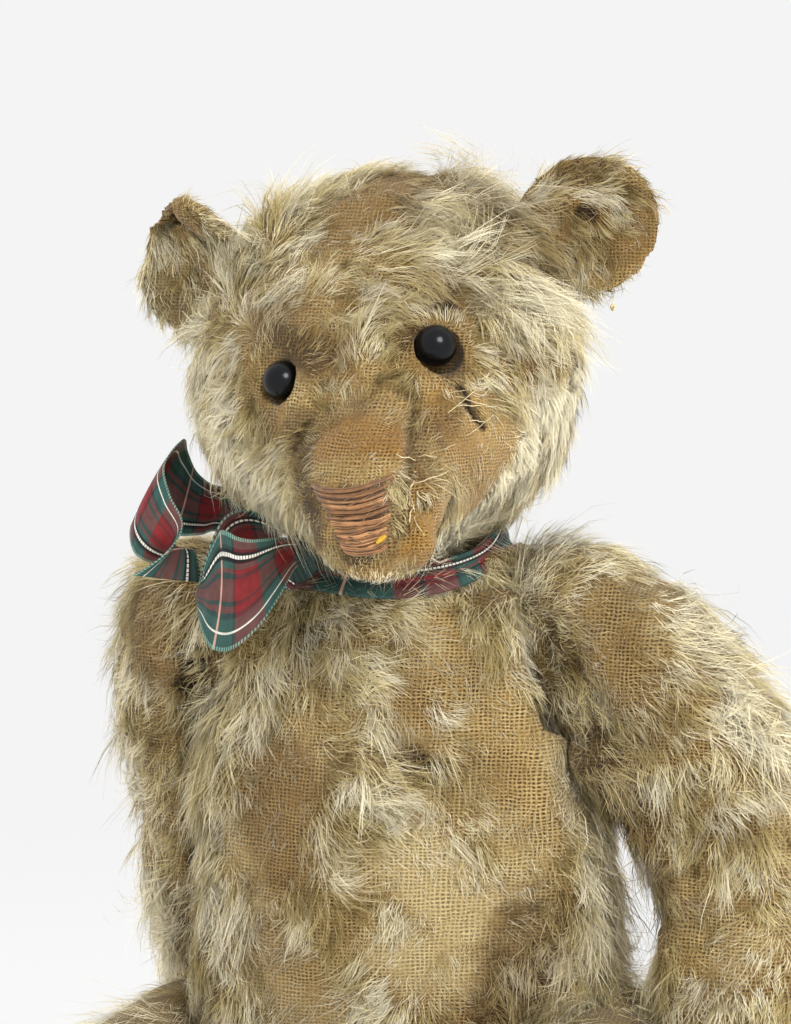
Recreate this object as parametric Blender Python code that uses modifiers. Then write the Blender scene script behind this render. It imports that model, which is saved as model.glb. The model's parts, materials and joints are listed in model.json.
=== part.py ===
# A jointed mohair teddy bear, sitting, worn bare in places, with a ribbon tied at its neck.
# Metres, +Z up. The bear looks along -Y, so its right side is at -X and its left side at +X.
# Each stuffed form is one firm body of wood wool in its cloth. The limbs and the head turn on
# fibre discs that a cotter pin clamps through the cloth of both forms.
import math

import bmesh
import bpy
from mathutils import Matrix, Vector

# Where the middle of the torso stands from the middle of the whole bear's footprint.
TORSO_AT = Vector((-0.0051, 0.0452, 0.0))

GAP = 0.0003            # between neighbouring pieces
FACE_GAP = 0.0002       # from a joint's plane to the cloth face on each side of it

# Torso
NECK_Z = 0.2034         # plane of the neck joint
SHOULDER = Vector((0.0415, -0.002, 0.174))
SHOULDER_SLOPE = math.radians(14)
HIP = Vector((0.043, 0.0, 0.036))
LEG_SPLAY = math.radians(12)

# Head: the middle of the skull, and how it nods, leans and turns
SKULL_AT = Vector((-0.002, -0.002, 0.2545))
HEAD_NOD = math.radians(12)
HEAD_LEAN = math.radians(-10)
HEAD_TURN = math.radians(8)
EYE_RADIUS = 0.0061
EYES = {
    "right": Vector((-0.0220, -0.0545, 0.0172)),
    "left": Vector((0.0228, -0.0530, 0.0185)),
}
EAR_WIDTH = 0.046
EAR_HEIGHT = 0.046
EAR_THICK = 0.0075
EAR_CUP = 0.011
EAR_SET_OUT = 0.008
# Each ear: its seam's middle, the way it stands out, and how far it turns to its side.
EARS = {
    "right": (-1, Vector((-0.0430, 0.0070, 0.0385)), Vector((-0.66, 0.62, 0.39)), 0.62),
    "left": (1, Vector((0.0570, 0.0040, 0.0335)), Vector((0.93, 0.10, 0.32)), 0.15),
}
NOSE_AT = Vector((0, -0.0905, -0.0120))
NOSE_FACING = Vector((0, -0.985, 0.17))
NOSE_WIDTH = 0.0250
NOSE_HEIGHT = 0.0230
NOSE_DEPTH = 0.016      # how far its outline reaches each way through the muzzle

# Joint hardware
ARM_DISC = 0.0140
LEG_DISC = 0.0200
NECK_DISC = 0.0180
DISC_THICK = 0.0030
DISC_SET_BACK = 0.0003
WASHER_RADIUS = 0.0065
WASHER_THICK = 0.0010
PIN_HOLE = 0.0020
PIN_WIRE = 0.00075
PIN_EYE = 0.0021
PIN_CURL = 0.0019
POCKET_DEPTH = 0.0108
LIMB_REACH = 0.25       # past the far side of any form
NECK_FACE = 0.060       # radius within which the torso is flattened to each joint
ARM_FACE = 0.030
LEG_FACE = 0.040

# Trim
PAD_THICK = 0.0022
PAW_WIDTH = 0.0200
PAW_LENGTH = 0.0320
PAW_REACH = 0.0200      # from the paw's pad out to the middle of its outline
FOOT_WIDTH = 0.0330
FOOT_HEIGHT = 0.0640
STITCH_THICK = 0.0014
RIBBON_THICK = 0.0008

MOHAIR = "B9AC86"
FELT = "9C8157"
FIBRE_BOARD = "7C5A38"
STEEL = "8A8680"
BOOT_BUTTON = "141416"
NOSE_THREAD = "A8704C"
TARTAN_RED = "7E2C2A"


def clear_scene():
    for old in list(bpy.data.objects):
        bpy.data.objects.remove(old, do_unlink=True)


def new_collection(name):
    collection = bpy.data.collections.new(name)
    bpy.context.scene.collection.children.link(collection)
    return collection


clear_scene()
BEAR = new_collection("threadbare_teddy_bear")
CUTTERS = new_collection("cutters")


def linear(value):
    return value / 12.92 if value <= 0.04045 else ((value + 0.055) / 1.055) ** 2.4


def material(name, hex_colour, roughness, metallic=0.0):
    made = bpy.data.materials.get(name) or bpy.data.materials.new(name)
    made.use_nodes = True
    shader = made.node_tree.nodes["Principled BSDF"]
    colour = [linear(int(hex_colour[at:at + 2], 16) / 255) for at in (0, 2, 4)]
    shader.inputs["Base Color"].default_value = (*colour, 1)
    shader.inputs["Roughness"].default_value = roughness
    shader.inputs["Metallic"].default_value = metallic
    return made


def empty(name, place, parent=None):
    """An empty at a 4x4 place in its parent's frame."""
    holder = bpy.data.objects.new(name, None)
    holder.empty_display_size = 0.02
    holder.parent = parent
    holder.matrix_basis = place
    BEAR.objects.link(holder)
    return holder


def add_object(name, mesh, parent, finish=None, collection=None):
    piece = bpy.data.objects.new(name, mesh)
    (collection or BEAR).objects.link(piece)
    piece.parent = parent
    if finish:
        mesh.materials.append(finish)
    return piece


def add_cutter(name, mesh, parent):
    cutter = add_object(name, mesh, parent, collection=CUTTERS)
    cutter.hide_render = True
    cutter.display_type = "WIRE"
    return cutter


def boolean(piece, cutter, operation="DIFFERENCE"):
    step = piece.modifiers.new(cutter.name, "BOOLEAN")
    step.object = cutter
    step.operation = operation
    step.solver = "EXACT"


def mesh_from(bm, name, place=Matrix.Identity(4)):
    bmesh.ops.transform(bm, matrix=place, verts=bm.verts)
    bmesh.ops.recalc_face_normals(bm, faces=bm.faces)
    for face in bm.faces:
        face.smooth = True
    mesh = bpy.data.meshes.new(name)
    bm.to_mesh(mesh)
    bm.free()
    return mesh


def cylinder_mesh(name, radius, low, high, sides=32, place=Matrix.Identity(4)):
    """A closed cylinder about local Z, from low to high."""
    bm = bmesh.new()
    bmesh.ops.create_cone(
        bm, cap_ends=True, segments=sides, radius1=radius, radius2=radius, depth=high - low
    )
    bmesh.ops.translate(bm, vec=(0, 0, (low + high) / 2), verts=bm.verts)
    return mesh_from(bm, name, place)


def oval_prism(name, width, height, depth, place, shape=None):
    """An oval prism, width along X, height along Y and depth both ways along Z. shape(x, y)
    reworks its outline, with x and y from -1 to 1."""
    bm = bmesh.new()
    bmesh.ops.create_cone(bm, cap_ends=True, segments=20, radius1=1, radius2=1, depth=2)
    for vert in bm.verts:
        x, y = shape(vert.co.x, vert.co.y) if shape else (vert.co.x, vert.co.y)
        vert.co = Vector((x * width / 2, y * height / 2, vert.co.z * depth))
    return mesh_from(bm, name, place)


def stuffed_mesh(name, sections, side, segments=12, grow=0.0, place=Matrix.Identity(4)):
    """A closed form through oval sections. A section is (centre, half width, half depth), the
    half width along side. The first and last sections are the form's two ends."""
    centres = [Vector(centre) for centre, _, _ in sections]
    last = len(sections) - 1
    bm = bmesh.new()
    bmesh.ops.create_uvsphere(bm, u_segments=segments, v_segments=last, radius=1)
    for vert in bm.verts:
        level = round(math.acos(max(-1.0, min(1.0, vert.co.z))) * last / math.pi)
        angle = math.atan2(vert.co.y, vert.co.x)
        before, after = centres[max(level - 1, 0)], centres[min(level + 1, last)]
        run = (after - before).normalized()
        across = (side - run * side.dot(run)).normalized()
        forward = run.cross(across)
        if level in (0, last):
            vert.co = centres[level] + run * (grow if level else -grow)
            continue
        half_width, half_depth = (size + grow for size in sections[level][1:])
        vert.co = (
            centres[level]
            + across * (half_width * math.cos(angle))
            + forward * (half_depth * math.sin(angle))
        )
    return mesh_from(bm, name, place)


def subdivide(piece, levels=1):
    smooth = piece.modifiers.new("soft form", "SUBSURF")
    smooth.levels = smooth.render_levels = levels


def facing(origin, direction):
    """A frame at origin with its +Z along direction."""
    turn = Vector((0, 0, 1)).rotation_difference(Vector(direction)).to_matrix().to_4x4()
    return Matrix.Translation(origin) @ turn


# The joints' frames. Each one's +Z is its axis and points from the torso to the limb.
def mirrored(vector, side):
    return Vector((side * vector.x, vector.y, vector.z))


def shoulder_frame(side):
    return facing(
        mirrored(SHOULDER, side),
        (side * math.cos(SHOULDER_SLOPE), 0, math.sin(SHOULDER_SLOPE)),
    )


def hip_frame(side):
    return facing(
        mirrored(HIP, side), (side * math.cos(LEG_SPLAY), math.sin(LEG_SPLAY), 0)
    )


NECK_FRAME = Matrix.Translation((0, 0, NECK_Z))
HEAD_FRAME = (
    Matrix.Translation(SKULL_AT)
    @ Matrix.Rotation(HEAD_TURN, 4, "Z")
    @ Matrix.Rotation(HEAD_LEAN, 4, "Y")
    @ Matrix.Rotation(HEAD_NOD, 4, "X")
)

# Sections of the torso: height, half width, half depth, and how far the middle sits forward.
TORSO_LEVELS = (
    (-0.0050, 0.0, 0.0, 0.0),
    (0.0010, 0.030, 0.029, 0.0),
    (0.0140, 0.0440, 0.041, 0.0),
    (0.0420, 0.0540, 0.048, -0.002),
    (0.0760, 0.0585, 0.051, -0.004),
    (0.1080, 0.0565, 0.050, -0.004),
    (0.1400, 0.0505, 0.046, -0.003),
    (0.1650, 0.0470, 0.042, -0.001),
    (0.1820, 0.0440, 0.038, 0.0),
    (0.1930, 0.0370, 0.032, 0.0),
    (0.2020, 0.0275, 0.0255, 0.0),
    (0.2080, 0.0180, 0.0170, 0.0),
    (0.2100, 0.0, 0.0, 0.0),
)

# Sections of the head, from its back to the end of its muzzle: how far forward, height of the
# middle, half width, half height.
HEAD_LEVELS = (
    (-0.0520, 0.002, 0.0, 0.0),
    (-0.0480, 0.004, 0.025, 0.026),
    (-0.0330, 0.004, 0.0460, 0.0465),
    (-0.0110, 0.003, 0.0580, 0.0590),
    (0.0130, 0.001, 0.0600, 0.0585),
    (0.0330, -0.002, 0.0530, 0.0490),
    (0.0490, -0.007, 0.0400, 0.0370),
    (0.0620, -0.011, 0.0295, 0.0275),
    (0.0770, -0.013, 0.0240, 0.0225),
    (0.0900, -0.014, 0.0200, 0.0190),
    (0.0970, -0.0145, 0.0125, 0.0120),
    (0.0990, -0.0145, 0.0, 0.0),
)

# Sections of the arms: the middle, half thickness and half depth. The right arm hangs a little
# back, and the left one stands out from the body with its forearm brought forward.
ARM_SECTIONS = {
    "right": (
        ((-0.0585, -0.0105, 0.2035), 0.0, 0.0),
        ((-0.0590, -0.0090, 0.2000), 0.0120, 0.0135),
        ((-0.0610, -0.0055, 0.1910), 0.0195, 0.0225),
        ((-0.0620, 0.0010, 0.1730), 0.0215, 0.0255),
        ((-0.0650, 0.0110, 0.1480), 0.0200, 0.0235),
        ((-0.0680, 0.0230, 0.1210), 0.0180, 0.0215),
        ((-0.0690, 0.0380, 0.0950), 0.0160, 0.0195),
        ((-0.0695, 0.0520, 0.0700), 0.0145, 0.0180),
        ((-0.0690, 0.0630, 0.0490), 0.0145, 0.0180),
        ((-0.0685, 0.0690, 0.0340), 0.0130, 0.0160),
        ((-0.0680, 0.0700, 0.0240), 0.0080, 0.0095),
        ((-0.0680, 0.0700, 0.0215), 0.0, 0.0),
    ),
    "left": (
        ((0.0520, -0.0040, 0.2050), 0.0, 0.0),
        ((0.0535, -0.0040, 0.2015), 0.0130, 0.0135),
        ((0.0560, -0.0040, 0.1930), 0.0205, 0.0230),
        ((0.0625, -0.0040, 0.1750), 0.0230, 0.0260),
        ((0.0810, -0.0060, 0.1540), 0.0215, 0.0240),
        ((0.1000, -0.0090, 0.1310), 0.0200, 0.0220),
        ((0.1108, -0.0160, 0.1060), 0.0185, 0.0200),
        ((0.1142, -0.0250, 0.0810), 0.0165, 0.0185),
        ((0.1125, -0.0340, 0.0590), 0.0160, 0.0185),
        ((0.1098, -0.0400, 0.0430), 0.0145, 0.0165),
        ((0.1080, -0.0420, 0.0340), 0.0085, 0.0100),
        ((0.1075, -0.0425, 0.0315), 0.0, 0.0),
    ),
}
# Middle and facing of the felt pad on each paw.
PAW_PADS = {
    "right": (Vector((-0.0690, 0.0620, 0.0420)), Vector((0.0, -0.93, -0.36))),
    "left": (Vector((0.1108, -0.0370, 0.0500)), Vector((-0.25, -0.90, -0.35))),
}

# Sections of a leg along its length from the hip: distance forward, height of the middle, half
# thickness, half height.
LEG_LEVELS = (
    (-0.0370, 0.0350, 0.0, 0.0),
    (-0.0340, 0.0350, 0.0110, 0.0150),
    (-0.0230, 0.0350, 0.0190, 0.0290),
    (-0.0030, 0.0345, 0.0230, 0.0375),
    (0.0220, 0.0330, 0.0230, 0.0355),
    (0.0520, 0.0295, 0.0220, 0.0310),
    (0.0850, 0.0260, 0.0200, 0.0275),
    (0.1150, 0.0245, 0.0185, 0.0260),
    (0.1380, 0.0300, 0.0195, 0.0320),
    (0.1560, 0.0385, 0.0220, 0.0415),
    (0.1700, 0.0390, 0.0225, 0.0420),
    (0.1780, 0.0380, 0.0150, 0.0280),
    (0.1800, 0.0380, 0.0, 0.0),
)
LEG_THICK_AT = 0.0215   # from the hip's plane to the middle of the leg
SOLE_AT = 0.1725        # where the sole is cut flat
SOLE_MIDDLE = 0.0385    # its height

# The ribbon's run from the knot to its cut end: its upper and lower edges.
RIBBON_TAIL = (
    ((-0.0230, -0.0370, 0.2010), (-0.0240, -0.0360, 0.1920)),
    ((-0.0330, -0.0310, 0.2120), (-0.0345, -0.0310, 0.2010)),
    ((-0.0440, -0.0251, 0.2219), (-0.0466, -0.0279, 0.2100)),
    ((-0.0519, -0.0211, 0.2240), (-0.0537, -0.0248, 0.2090)),
    ((-0.0572, -0.0184, 0.2275), (-0.0612, -0.0237, 0.2085)),
    ((-0.0600, -0.0175, 0.2330), (-0.0680, -0.0255, 0.2100)),
    ((-0.0590, -0.0246, 0.2370), (-0.0710, -0.0348, 0.2130)),
    ((-0.0608, -0.0362, 0.2304), (-0.0695, -0.0425, 0.2085)),
    ((-0.0575, -0.0413, 0.2224), (-0.0655, -0.0457, 0.2040)),
    ((-0.0560, -0.0455, 0.2150), (-0.0600, -0.0440, 0.2010)),
    ((-0.0590, -0.0510, 0.2070), (-0.0540, -0.0410, 0.1990)),
    ((-0.0647, -0.0581, 0.1999), (-0.0487, -0.0410, 0.1960)),
)
# The ribbon's loop that hangs from the knot: its upper and lower edges, all the way round.
RIBBON_LOOP = (
    ((-0.0190, -0.0450, 0.2005), (-0.0170, -0.0450, 0.1900)),
    ((-0.0225, -0.0530, 0.2080), (-0.0190, -0.0520, 0.1930)),
    ((-0.0270, -0.0585, 0.2110), (-0.0236, -0.0567, 0.1900)),
    ((-0.0313, -0.0615, 0.2120), (-0.0299, -0.0564, 0.1834)),
    ((-0.0350, -0.0605, 0.2140), (-0.0366, -0.0542, 0.1775)),
    ((-0.0382, -0.0567, 0.2155), (-0.0434, -0.0520, 0.1790)),
    ((-0.0400, -0.0500, 0.2160), (-0.0480, -0.0480, 0.1860)),
    ((-0.0385, -0.0440, 0.2140), (-0.0470, -0.0440, 0.1930)),
    ((-0.0345, -0.0410, 0.2090), (-0.0410, -0.0420, 0.1950)),
    ((-0.0285, -0.0395, 0.2020), (-0.0310, -0.0400, 0.1930)),
)
# The ribbon's turn round the neck: half widths along X and Y at its lower and upper edge.
BAND_LOWER = (0.0392, 0.0358, 0.1908)
BAND_UPPER = (0.0306, 0.0292, 0.2018)
BAND_THICK = 0.0010
BAND_RISE = 0.0045      # towards the left cheek
COLLAR_ROOM = 0.0012    # between the ribbon's turn and the head as it turns above it
KNOT_AT = Vector((-0.0205, -0.0370, 0.1955))
KNOT_HALF = Vector((0.0072, 0.0098, 0.0068))


def torso_sections():
    return [
        ((0, forward, height), half_width, half_depth)
        for height, half_width, half_depth, forward in TORSO_LEVELS
    ]


def head_sections():
    return [
        ((0, -forward, height), half_width, half_height)
        for forward, height, half_width, half_height in HEAD_LEVELS
    ]


def leg_sections(side):
    along = Vector((side * math.sin(LEG_SPLAY), -math.cos(LEG_SPLAY), 0))
    outward = Vector((side * math.cos(LEG_SPLAY), math.sin(LEG_SPLAY), 0))
    root = Vector((side * HIP.x, HIP.y, 0)) + outward * LEG_THICK_AT
    return [
        (root + along * forward + Vector((0, 0, height)), half_width, half_height)
        for forward, height, half_width, half_height in LEG_LEVELS
    ]


def ring_mesh(name, inner, outer, low, high):
    """The profile of a flat ring about Z, for a Screw modifier."""
    corners = ((outer, high), (outer, low), (inner, low), (inner, high))
    mesh = bpy.data.meshes.new(name)
    edges = [(at, (at + 1) % 4) for at in range(4)]
    mesh.from_pydata([(x, 0, z) for x, z in corners], edges, [])
    return mesh


def add_ring(name, parent, inner, outer, low, high, steps, finish):
    ring = add_object(name, ring_mesh(name, inner, outer, low, high), parent, finish)
    turn = ring.modifiers.new("turned", "SCREW")
    turn.steps = turn.render_steps = steps
    turn.use_merge_vertices = True
    turn.merge_threshold = 0.00001
    return ring


def cotter_pin(name, parent, high, low, finish):
    """A wire bent double: its eye above high, its two legs curled apart below low."""
    leg = PIN_WIRE + GAP / 2
    eye_at = high + PIN_WIRE * 3.6
    half = [(leg, low)]
    for step in range(1, 6):
        angle = math.radians(32 * step)
        half.append((leg + PIN_CURL * (1 - math.cos(angle)), low - PIN_CURL * math.sin(angle)))
    half = half[::-1] + [(leg, high)]
    for step in range(5):
        angle = math.radians(-50 + 35 * step)
        half.append((PIN_EYE * math.cos(angle), eye_at + PIN_EYE * math.sin(angle)))
    points = half + [(-x, z) for x, z in half[::-1]]
    curve = bpy.data.curves.new(name, "CURVE")
    curve.dimensions = "3D"
    curve.bevel_depth = PIN_WIRE
    curve.bevel_resolution = 1
    curve.use_fill_caps = True
    line = curve.splines.new("POLY")
    line.points.add(len(points) - 1)
    for point, (x, z) in zip(line.points, points):
        point.co = (x, 0, z, 1)
    return add_object(name, curve, parent, finish)


def add_joint(label, torso, limb, joint, disc_radius, torso_face_radius):
    """Flattens the two forms where they meet, sinks a pocket in each, and fits the discs,
    washers and cotter pin of one joint. joint's +Z points from the torso to the limb."""
    board = material("hard fibre board", FIBRE_BOARD, 0.85)
    steel = material("dull steel", STEEL, 0.45, 1.0)
    past = 0.002
    flats = (
        (limb, "limb_face", LIMB_REACH, -LIMB_REACH, FACE_GAP),
        (torso, "torso_face", torso_face_radius, -FACE_GAP, torso_face_radius),
        (limb, "limb_pocket", disc_radius + GAP, -past, POCKET_DEPTH),
        (torso, "torso_pocket", disc_radius + GAP, -POCKET_DEPTH, past),
    )
    for piece, use, radius, low, high in flats:
        name = f"{label}_{use}"
        boolean(piece, add_cutter(name, cylinder_mesh(name, radius, low, high), joint))
    disc_near = FACE_GAP + DISC_SET_BACK
    washer_near = disc_near + DISC_THICK + GAP
    for side, use in ((1, "limb"), (-1, "body")):
        for kind, near, thick, outer, steps, finish in (
            ("disc", disc_near, DISC_THICK, disc_radius, 20, board),
            ("washer", washer_near, WASHER_THICK, WASHER_RADIUS, 10, steel),
        ):
            low, high = sorted((side * near, side * (near + thick)))
            add_ring(
                f"{label}_{use}_{kind}", joint, PIN_HOLE, outer, low, high, steps, finish
            )
    pin_end = washer_near + WASHER_THICK + GAP
    cotter_pin(f"{label}_cotter_pin", joint, pin_end + GAP, -pin_end - 2 * GAP, steel)


def local_place(joint):
    """Takes a point of the bear's own frame into a joint's frame."""
    return joint.matrix_basis.inverted()


def add_torso(bear, mohair):
    sections = torso_sections()
    torso = add_object(
        "torso", stuffed_mesh("torso", sections, Vector((1, 0, 0)), 14), bear, mohair
    )
    subdivide(torso)
    floor = cylinder_mesh("seat_plane", LIMB_REACH, -LIMB_REACH, 0.0)
    boolean(torso, add_cutter("seat_plane", floor, bear))
    return torso


def add_head(neck, mohair):
    sections, side = head_sections(), Vector((1, 0, 0))
    place = local_place(neck) @ HEAD_FRAME
    head = add_object("head", stuffed_mesh("head", sections, side, 14, 0, place), neck, mohair)
    subdivide(head)
    return head


def clear_collar(head, neck):
    """Trims the jaw just enough for the head to turn above the ribbon's turn."""
    corners = []
    for half_x, _, height in (BAND_UPPER, BAND_LOWER):
        rise = BAND_RISE + COLLAR_ROOM
        corners.append((half_x + COLLAR_ROOM, height + rise - NECK_Z))
    (top_x, top_z), (low_x, low_z) = corners
    bm = bmesh.new()
    bmesh.ops.create_cone(
        bm, cap_ends=True, segments=32, radius1=low_x, radius2=top_x, depth=top_z - low_z
    )
    bmesh.ops.translate(bm, vec=(0, 0, (top_z + low_z) / 2), verts=bm.verts)
    boolean(head, add_cutter("collar_room", mesh_from(bm, "collar_room"), neck))


def head_copy(name, neck, grow):
    """The head's form again, a little larger, to trim what is sewn on it."""
    place = local_place(neck) @ HEAD_FRAME
    return stuffed_mesh(name, head_sections(), Vector((1, 0, 0)), 14, grow, place)


def add_ears(neck, trim, mohair):
    for label, (side, at, out, tilt) in EARS.items():
        out = out.normalized()
        front = Vector((side * tilt, -1, 0)).normalized()
        along = out.cross(front).normalized()
        front = along.cross(out)
        bm = bmesh.new()
        bmesh.ops.create_uvsphere(bm, u_segments=12, v_segments=6, radius=1)
        for vert in bm.verts:
            wide, thick, tall = vert.co
            cup = EAR_CUP * (wide * wide + 0.5 * tall * tall)
            vert.co = (
                at
                + along * (wide * EAR_WIDTH / 2)
                + out * (tall * EAR_HEIGHT / 2 + EAR_SET_OUT)
                + front * (thick * EAR_THICK / 2 + cup)
            )
        name = f"ear_{label}"
        ear = add_object(name, mesh_from(bm, name, local_place(neck) @ HEAD_FRAME), neck, mohair)
        subdivide(ear)
        boolean(ear, trim)


def add_eyes(neck, head):
    button = material("black boot button", BOOT_BUTTON, 0.12)
    for label, at in EYES.items():
        for use, radius in (("eye", EYE_RADIUS), ("eye_socket", EYE_RADIUS + GAP)):
            bm = bmesh.new()
            bmesh.ops.create_uvsphere(bm, u_segments=16, v_segments=10, radius=radius)
            bmesh.ops.translate(bm, vec=at, verts=bm.verts)
            name = f"{use}_{label}"
            mesh = mesh_from(bm, name, local_place(neck) @ HEAD_FRAME)
            if use == "eye":
                add_object(name, mesh, neck, button)
            else:
                boolean(head, add_cutter(name, mesh, neck))


def nose_shape(x, y):
    """A shield, straight above and drawn in below."""
    return x * (1.0 if y > 0 else 1.0 - 0.45 * y * y), y


def add_nose(neck, trim):
    thread = material("worn cotton thread", NOSE_THREAD, 0.7)
    form = head_copy("nose_stitching", neck, STITCH_THICK)
    nose = add_object("nose_stitching", form, neck, thread)
    subdivide(nose)
    place = local_place(neck) @ HEAD_FRAME @ facing(NOSE_AT, NOSE_FACING)
    outline = oval_prism("nose_outline", NOSE_WIDTH, NOSE_HEIGHT, NOSE_DEPTH, place, nose_shape)
    boolean(nose, add_cutter("nose_outline", outline, neck), "INTERSECT")
    boolean(nose, trim)


def add_arm(bear, torso, label, side, mohair, felt):
    joint = empty(f"shoulder_{label}_joint", shoulder_frame(side), bear)
    place = local_place(joint)
    sections, across = ARM_SECTIONS[label], Vector((1, 0, 0))
    name = f"arm_{label}"
    arm = add_object(name, stuffed_mesh(name, sections, across, 12, 0, place), joint, mohair)
    subdivide(arm)
    add_joint(f"shoulder_{label}", torso, arm, joint, ARM_DISC, ARM_FACE)
    at, direction = PAW_PADS[label]
    pad_name = f"paw_pad_{label}"
    mesh = stuffed_mesh(pad_name, sections, across, 12, PAD_THICK, place)
    pad = add_object(pad_name, mesh, joint, felt)
    subdivide(pad)
    outline_name = f"paw_outline_{label}"
    on_paw = place @ facing(at + direction * PAW_REACH, direction)
    outline = oval_prism(outline_name, PAW_WIDTH, PAW_LENGTH, PAW_REACH, on_paw)
    boolean(pad, add_cutter(outline_name, outline, joint), "INTERSECT")
    trim_name = f"paw_trim_{label}"
    trim_form = stuffed_mesh(trim_name, sections, across, 12, GAP, place)
    trim = add_cutter(trim_name, trim_form, joint)
    subdivide(trim)
    boolean(pad, trim)


def add_leg(bear, torso, label, side, mohair, felt):
    joint = empty(f"hip_{label}_joint", hip_frame(side), bear)
    place = local_place(joint)
    across = Vector((math.cos(LEG_SPLAY), side * math.sin(LEG_SPLAY), 0))
    along = Vector((side * math.sin(LEG_SPLAY), -math.cos(LEG_SPLAY), 0))
    root = Vector((side * HIP.x, HIP.y, 0)) + across * (side * LEG_THICK_AT)
    name = f"leg_{label}"
    form = stuffed_mesh(name, leg_sections(side), across, 12, 0, place)
    leg = add_object(name, form, joint, mohair)
    subdivide(leg)
    add_joint(f"hip_{label}", torso, leg, joint, LEG_DISC, LEG_FACE)
    floor_name = f"floor_{label}"
    floor = cylinder_mesh(floor_name, LIMB_REACH, -LIMB_REACH, 0.0, 32, place)
    boolean(leg, add_cutter(floor_name, floor, joint))
    sole_middle = root + along * SOLE_AT + Vector((0, 0, SOLE_MIDDLE))
    upright = Matrix((across, Vector((0, 0, 1)), along)).transposed().to_4x4()
    sole = place @ Matrix.Translation(sole_middle) @ upright
    sole_name = f"sole_plane_{label}"
    past_sole = cylinder_mesh(sole_name, FOOT_HEIGHT, 0.0, FOOT_HEIGHT, 32, sole)
    boolean(leg, add_cutter(sole_name, past_sole, joint))
    pad_name = f"foot_pad_{label}"
    on_sole = sole @ Matrix.Translation((0, 0, GAP + PAD_THICK / 2))
    pad = oval_prism(pad_name, FOOT_WIDTH, FOOT_HEIGHT, PAD_THICK / 2, on_sole)
    add_object(pad_name, pad, joint, felt)


def strip_mesh(name, stations):
    """A ribbon's surface through its stations, each the two ends of a line across it."""
    bm = bmesh.new()
    bmesh.ops.create_grid(bm, x_segments=len(stations) - 1, y_segments=2, size=1)
    for vert in bm.verts:
        upper, lower = stations[round((vert.co.x + 1) / 2 * (len(stations) - 1))]
        vert.co = Vector(upper).lerp(Vector(lower), (vert.co.y + 1) / 2)
    mesh = bpy.data.meshes.new(name)
    bm.to_mesh(mesh)
    bm.free()
    return mesh


def add_strip(name, stations, parent, thick):
    strip = add_cutter(name, strip_mesh(name, stations), parent)
    wall = strip.modifiers.new("cloth", "SOLIDIFY")
    wall.thickness = thick
    wall.offset = 0
    return strip


def add_ribbon(bear):
    tartan = material("tartan taffeta ribbon", TARTAN_RED, 0.5)
    bm = bmesh.new()
    bmesh.ops.create_uvsphere(bm, u_segments=12, v_segments=8, radius=1)
    bmesh.ops.scale(bm, vec=KNOT_HALF, verts=bm.verts)
    bmesh.ops.translate(bm, vec=KNOT_AT, verts=bm.verts)
    ribbon = add_object("neck_ribbon", mesh_from(bm, "neck_ribbon"), bear, tartan)
    band = add_cutter("ribbon_band", band_mesh("ribbon_band", 28), bear)
    wall = band.modifiers.new("cloth", "SOLIDIFY")
    wall.thickness = BAND_THICK
    wall.offset = 0
    boolean(ribbon, band, "UNION")
    for name, stations in (("ribbon_tail", RIBBON_TAIL), ("ribbon_loop", RIBBON_LOOP)):
        boolean(ribbon, add_strip(name, stations, bear, RIBBON_THICK), "UNION")


def band_mesh(name, steps):
    """The ribbon's turn round the neck, a closed ring that flares downwards."""
    bm = bmesh.new()
    bmesh.ops.create_cone(bm, cap_ends=False, segments=steps, radius1=1, radius2=0.9, depth=2)
    for vert in bm.verts:
        half_x, half_y, height = BAND_LOWER if vert.co.z < 0 else BAND_UPPER
        way = vert.co.xy.normalized()
        vert.co = (way.x * half_x, way.y * half_y, height + BAND_RISE * max(way.x, 0))
    bmesh.ops.recalc_face_normals(bm, faces=bm.faces)
    mesh = bpy.data.meshes.new(name)
    bm.to_mesh(mesh)
    bm.free()
    return mesh


def main():
    mohair = material("worn mohair plush", MOHAIR, 0.95)
    felt = material("wool felt", FELT, 0.95)
    bear = empty("bear", Matrix.Translation(TORSO_AT))
    torso = add_torso(bear, mohair)
    neck = empty("neck_joint", NECK_FRAME, bear)
    head = add_head(neck, mohair)
    trim = add_cutter("head_trim", head_copy("head_trim", neck, GAP), neck)
    subdivide(trim)
    add_ears(neck, trim, mohair)
    add_eyes(neck, head)
    add_nose(neck, trim)
    clear_collar(head, neck)
    add_joint("neck", torso, head, neck, NECK_DISC, NECK_FACE)
    for label, side in (("right", -1), ("left", 1)):
        add_arm(bear, torso, label, side, mohair, felt)
        add_leg(bear, torso, label, side, mohair, felt)
    add_ribbon(bear)


main()
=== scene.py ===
# A threadbare mohair teddy bear, sitting, jointed, with a worn tartan ribbon at its neck.
# Every form is a cloth skin over the frame's own shape, with a pile of separate mesh strands that
# thins out to the bare woven backing where the bear is worn.
import json
import math

import bmesh
import bpy
import numpy as np
from mathutils import Matrix, Vector, kdtree, noise
from mathutils.bvhtree import BVHTree


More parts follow.
